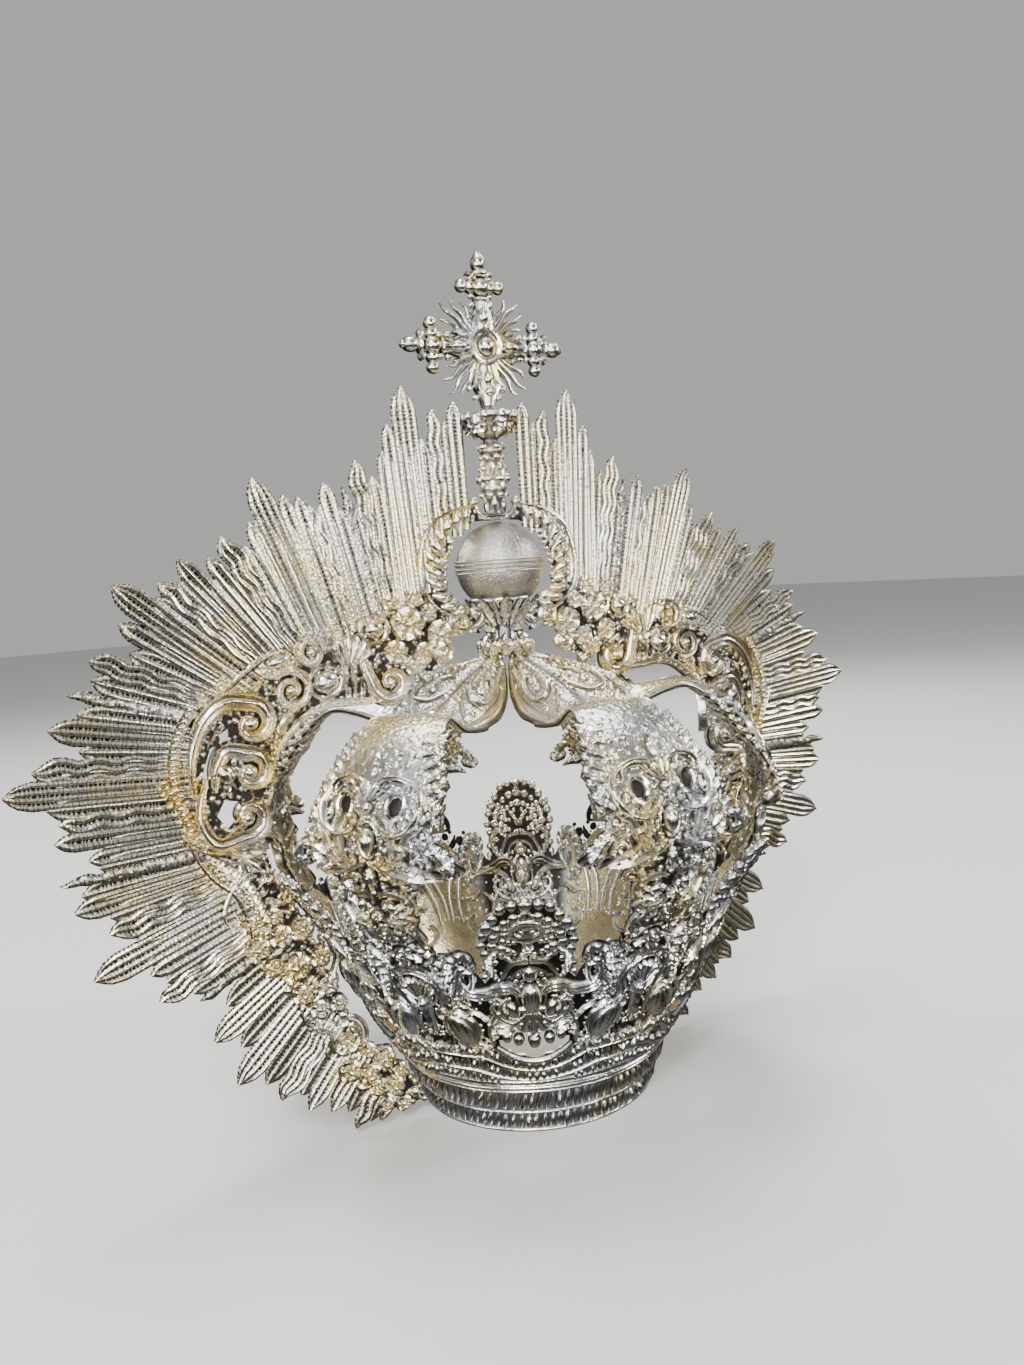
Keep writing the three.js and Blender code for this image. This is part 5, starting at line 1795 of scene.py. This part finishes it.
# %% Volutes
def lay_volutes(bench):
    # Three volutes on broad grooved bands.
    lead = [(165, 179), (166, 190), (163.8, 202), (158, 213), (148, 220)]
    bench.strip(spiral(lead, (137, 209), 9.6, 1.05, 92, 1), [1.4, 3.0, 4.6, 5.2, 4.6, 3.4, 1.8],
                [2.4, 3.6, 5.0, 5.2, 4.6, 3.4], "crown", across=11)
    lead = [(156.5, 180), (155, 190), (149.5, 198)]
    bench.strip(spiral(lead, (139.5, 187), 9.2, 1.05, 80, 1), [1.6, 3.8, 4.8, 4.2, 3.2, 1.8],
                [2.4, 4.4, 5.2, 4.6, 3.4], "crown", across=11)
    lead = [(159.5, 187), (162.8, 177), (163.6, 166), (157.5, 156)]
    bench.strip(spiral(lead, (142.5, 166.5), 9.2, 1.0, -78, -1), [1.2, 3.2, 4.8, 4.8, 3.6, 1.8],
                [2.4, 4.0, 5.2, 4.8, 3.4], "crown", across=11)
    for at in ((137, 209), (139.5, 187), (142.5, 166.5)):
        bench.disc(at, 4.0, high=5.4, around=16)
    bench.disc((150.5, 187.5), 4.4, 5.6, 3.6, turn=-30, around=14)
    # Leaves between them and the inner edge.
    bench.chase([(128.5, 199), (127.5, 190), (129, 180), (132.5, 170)], [0.8, 2.8, 2.6, 0.5], 3.4,
                "leaf", ribs=12, across=9, lobes=6)
    bench.chase([(134, 176), (136, 172), (141.5, 173)], [0.8, 2.2, 0.5], 3.2, "leaf", ribs=5)
    bench.chase([(148, 209), (153.5, 206), (156.5, 200)], [0.6, 1.6, 0.5], 2.8, "leaf", ribs=5)
    bench.chase([(117, 239.5), (128, 237.5), (139, 230.5), (150, 223), (161, 218)],
                [1.0, 2.6, 2.8, 2.2, 1.0], 3.0, "leaf", ribs=18, lean=0.7, across=9, lobes=7)
    # Beaded strips at the outer edge.
    for points in (
        [(163.5, 218.5), (170.5, 207), (173.6, 195), (173.4, 184)],
        [(178, 188), (172.5, 177), (168, 165)],
    ):
        bench.chase(points, 3.2, 3.2, "rim", across=9)
        for face in (-1, 1):
            bench.beads(through(points), 1.5, 2.9, lift=2.4 * face)
    # Waves below.
    bench.chase([(134, 151.5), (146, 149.5), (154, 153.5), (163, 158.5), (172, 162.5)],
                [1.4, 2.4, 2.6, 1.2], 3.8, "rim", across=9)
    bench.chase([(143, 145.5), (151, 147), (160, 152), (169, 157)], [0.8, 1.7, 0.8], 3.0)


lay_volutes(band)
print("points with the volutes:", band.count)

# %% The ribbed arch and the rosettes below it
def lay_lower_arch(bench):
    arch_line = through([(170, 159), (166.5, 150), (160, 140), (151.5, 131), (147, 118), (146, 110)])
    bench.strip(arch_line, [1.0, 2.0, 2.0, 1.2], 2.8)
    for face in (-1, 1):
        bench.beads(even(arch_line - (4.4, -1.8), 1), 1.6, 3.4, lift=1.6 * face)
    bench.strip(through([(162, 153), (156, 144), (147.5, 134), (141.5, 124), (139.5, 118)], 0.9),
                [2.0, 5.0, 5.4, 4.2, 1.5], [2.2, 3.4, 3.0, 2], "rope", ribs=17, lean=0.8, across=9)
    bench.chase([(138, 152), (135.5, 141), (129.5, 128), (122.5, 115)], [1.2, 2.0, 1.6], 2.8, "leaf",
                ribs=18, lobes=8)
    bench.shell((148.5, 151.5), 218, 15, 120, 6, 3.0)
    bench.strip(scroll((152, 122), (141, 136), "C", 1), [0.9, 1.7, 0.9], 2.8)
    # The ringed rosette, and curls between the flowers.
    bench.disc((105.5, 50), 4.6, high=5.2, petals=6)
    bench.ring((105.5, 50), 7.6, 1.9)
    bench.ring((105.5, 50), 11.4, 1.2)
    for line, way in ((((138, 92), (125, 86)), 1), (((122, 70), (113, 60)), -1), (((96, 30), (86, 26)), 1),
                      (((128, 120), (137, 116)), -1), (((112, 100), (116, 84)), 1)):
        bench.strip(scroll(*line, "C", way), [0.9, 1.7, 0.9], 2.6)


lay_lower_arch(band)
lay_flowers(band, LOWER_FLOWERS)
print("points in half the band:", band.count)

# %% Small leaves and grains over the band's ground
hoop_outline = BAND_OUTER + BAND_INNER
hole_middles = [np.mean(hole, axis=0) for hole in BAND_HOLES]


def in_band(x, z):
    """Whether a point lies inside the band's outline."""
    inside = False
    for (x1, z1), (x2, z2) in zip(hoop_outline, hoop_outline[1:] + hoop_outline[:1]):
        if (z1 > z) != (z2 > z) and x < (x2 - x1) * (z - z1) / (z2 - z1) + x1:
            inside = not inside
    return inside


def on_flower(x, z):
    """Whether a point lies under a flower, in the rings of the rosette, or under the loop."""
    under = [math.hypot(x - fx, z - fz) < r + 0.5 for fx, fz, r, _ in CLUSTER + LOWER_FLOWERS if r > 5]
    return any(under) or math.hypot(x - 105.5, z - 50) < 12.5 or (x < 50 and z > 252)


def in_hole(x, z):
    return any(math.hypot(x - cx, (z - cz) / 1.6) < 5 for cx, cz in hole_middles)


chance = random.Random(21)
for x in np.arange(34, 178, 6.6):
    for z in np.arange(8, 262, 6.6):
        x1, z1 = x + chance.uniform(-2.5, 2.5), z + chance.uniform(-2.5, 2.5)
        if not in_band(x1, z1) or in_hole(x1, z1) or on_flower(x1, z1):
            continue
        angle, length = chance.uniform(0, 2 * math.pi), chance.uniform(5, 8)
        tip = (x1 + length * math.cos(angle), z1 + length * math.sin(angle))
        bow = (x1 + 0.5 * length * math.cos(angle + 0.35), z1 + 0.5 * length * math.sin(angle + 0.35))
        if in_band(*tip) and not in_hole(*tip) and not on_flower(*tip):
            leaf = through([(x1, z1), bow, tip], 1.4)
            band.strip(leaf, [0.5, 1.7, 0.3], [1.2, 2.3, 1.0], "leaf", ribs=3)
        else:
            band.grains([(x1, z1, 0)], chance.uniform(1.4, 2.1), BEAD)
for (x1, z1), (x2, z2) in zip(BAND_INNER, BAND_INNER[1:]):
    gap = math.hypot(x2 - x1, z2 - z1)
    for share in np.arange(0, 1, 3.6 / gap):
        if x1 > 30:
            place = (x1 + (x2 - x1) * share, z1 + (z2 - z1) * share, 0)
            band.grains([place], chance.uniform(1.0, 1.9), BEAD)
band.mirror()
halo_band = band.make("halo_band", halo_plane, SCROLL_SILVER, angle=45)
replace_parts(halo_band, "halo")

# %% [markdown]
# ## The hanging strip
# A plain strip of sheet hangs inside the knee of the front right arch, near its front edge.

# %% The strip
STRIP_WIDE, STRIP_THICK, STRIP_TALL = 4.4 * MM, 0.9 * MM, 19 * MM
STRIP_BOW = 6 * MM                # its ends bend back by a quarter of this
STRIP_TURN = math.radians(30)
STRIP_SIDE = math.radians(49)     # to the right of the crown's front
STRIP_REACH, STRIP_HEIGHT = 98, 191    # mm, from the axis and above the floor

deselect()
bpy.ops.mesh.primitive_cube_add(size=1, scale=(STRIP_WIDE, STRIP_THICK, STRIP_TALL))
strip = added("hanging_strip")
edit(strip, bpy.ops.mesh.subdivide, number_cuts=4)
flat = points_of(strip)
flat[:, 1] += STRIP_BOW * (flat[:, 2] / STRIP_TALL) ** 2
move_points(strip, flat)
modify(strip, "BEVEL", width=0.25 * MM, segments=2, limit_method="ANGLE")
bpy.ops.transform.rotate(value=STRIP_TURN, orient_axis="Z", center_override=(0, 0, 0))
x, y = STRIP_REACH * math.sin(STRIP_SIDE), -STRIP_REACH * math.cos(STRIP_SIDE)
bpy.ops.transform.translate(value=(x * MM, y * MM, STRIP_HEIGHT * MM))
added("hanging_strip")
set_rise(strip, 0.8)
smooth_by_angle(strip, 40)
strip.data.materials.append(ARCH_SILVER)
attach(strip, "root")
print("strip:", len(strip.data.polygons), "faces")

# %% [markdown]
# ## Floor, light and camera
# The crown stands on a plain pale floor. Polished silver shows what is round it, so the studio has a bright
# ceiling, tall soft boxes and a few lamps with dark between them, which gives each ridge its own dark side.

# %% Floor
deselect()
bpy.ops.mesh.primitive_plane_add(size=12)
floor = added("floor")
floor_paint = bpy.data.materials.new("pale_floor")
floor_paint.use_nodes = True
paint = floor_paint.node_tree.nodes["Principled BSDF"].inputs
paint["Base Color"].default_value = (0.66, 0.65, 0.63, 1)
paint["Roughness"].default_value = 0.8
floor.data.materials.append(floor_paint)
floor.visible_glossy = False    # the silver mirrors the dark of the studio, and not the floor
print("floor:", floor.name)

# %% The studio round the crown
BACKDROP = (0.46, 0.455, 0.445, 1)
LIGHT_BOXES = 7    # tall soft boxes round the crown, with dark gaps between them
# How bright the studio is, from straight down (0) past eye level (0.5) to straight up (1).
BRIGHTNESS = (
    (0.0, 0.30), (0.2, 0.06), (0.40, 0.08), (0.47, 0.6), (0.55, 1.0), (0.62, 0.20), (0.75, 0.06),
    (0.86, 0.9), (1.0, 1.5),
)
world = bpy.data.worlds.new("studio")
bpy.context.scene.world = world
world.use_nodes = True
sky = Wire(world.node_tree, None)
background = world.node_tree.nodes["Background"]
way = sky.node("ShaderNodeTexCoord", output="Generated")
east, north, up = (sky.node("ShaderNodeSeparateXYZ", None, {0: way}, output=axis) for axis in "XYZ")
boxes = (sky.math("ARCTAN2", north, east) * LIGHT_BOXES).sine().ramp(-0.2, 0.5) * 0.9 + 0.25
ramp = world.node_tree.nodes.new("ShaderNodeValToRGB")
world.node_tree.links.new((up * 0.5 + 0.5).socket, ramp.inputs[0])
while len(ramp.color_ramp.elements) < len(BRIGHTNESS):
    ramp.color_ramp.elements.new(0.5)
for element, (position, value) in zip(ramp.color_ramp.elements, BRIGHTNESS):
    element.position = position
    element.color = (value, value, value * 1.02, 1)
seen = sky.node("ShaderNodeLightPath", output="Is Camera Ray")
studio = boxes.mix_colour((0, 0, 0, 1), Wire(world.node_tree, ramp.outputs[0]))
world.node_tree.links.new(seen.mix_colour(studio, BACKDROP).socket, background.inputs["Color"])
print("light boxes:", LIGHT_BOXES)

# %% Lamps
LIT_PLACE = Vector((0, 0, 0.2))


def lamp(name, place, size, power):
    """A square soft lamp that shines on the middle of the crown."""
    data = bpy.data.lights.new(name, "AREA")
    data.size = size
    data.energy = power
    obj = bpy.data.objects.new(name, data)
    bpy.context.collection.objects.link(obj)
    obj.location = place
    obj.rotation_euler = (LIT_PLACE - Vector(place)).to_track_quat("-Z", "Y").to_euler()


lamp("key", (-1.1, -1.3, 1.5), 0.45, 34)
lamp("side", (1.3, -0.7, 0.9), 0.3, 14)
lamp("low_left", (-1.5, -0.3, 0.45), 0.3, 8)
lamp("low_front", (-0.6, -1.5, 0.5), 0.8, 12)
lamp("spark_left", (-0.95, -0.95, 0.18), 0.12, 5)
lamp("spark_right", (0.35, -1.25, 0.25), 0.12, 5)
lamp("top", (0.1, 0.2, 1.9), 0.6, 22)
lamp("back_left", (-0.9, 1.3, 1.1), 0.5, 16)
lamp("back_right", (1.0, 1.2, 1.2), 0.5, 16)

print("lamps:", len(bpy.data.lights))

# %% Camera
PLACE = Vector((-280.5, -485.8, 269.3)) * MM
AZIMUTH, PITCH, YAW, ROLL = (math.radians(a) for a in (-30, 5.88, 0.21, 4.21))
LENS = 28.73

ahead = Vector((-math.sin(AZIMUTH), math.cos(AZIMUTH), 0))
across = Vector((math.cos(AZIMUTH), math.sin(AZIMUTH), 0))
right = math.cos(YAW) * across - math.sin(YAW) * ahead
ahead = math.sin(YAW) * across + math.cos(YAW) * ahead
upward = math.cos(PITCH) * Vector((0, 0, 1)) + math.sin(PITCH) * ahead
ahead = math.cos(PITCH) * ahead - math.sin(PITCH) * Vector((0, 0, 1))
right, upward = (math.cos(ROLL) * right - math.sin(ROLL) * upward,
                 math.sin(ROLL) * right + math.cos(ROLL) * upward)
camera_data = bpy.data.cameras.new("camera")
camera_data.lens = LENS
camera_data.sensor_width = 36
camera_data.clip_start = 0.01
camera = bpy.data.objects.new("camera", camera_data)
bpy.context.collection.objects.link(camera)
turn = Matrix((right, upward, -ahead)).transposed().to_4x4()
camera.matrix_world = Matrix.Translation(PLACE) @ turn
bpy.context.scene.camera = camera
print("the camera stands at", [round(value, 3) for value in PLACE])
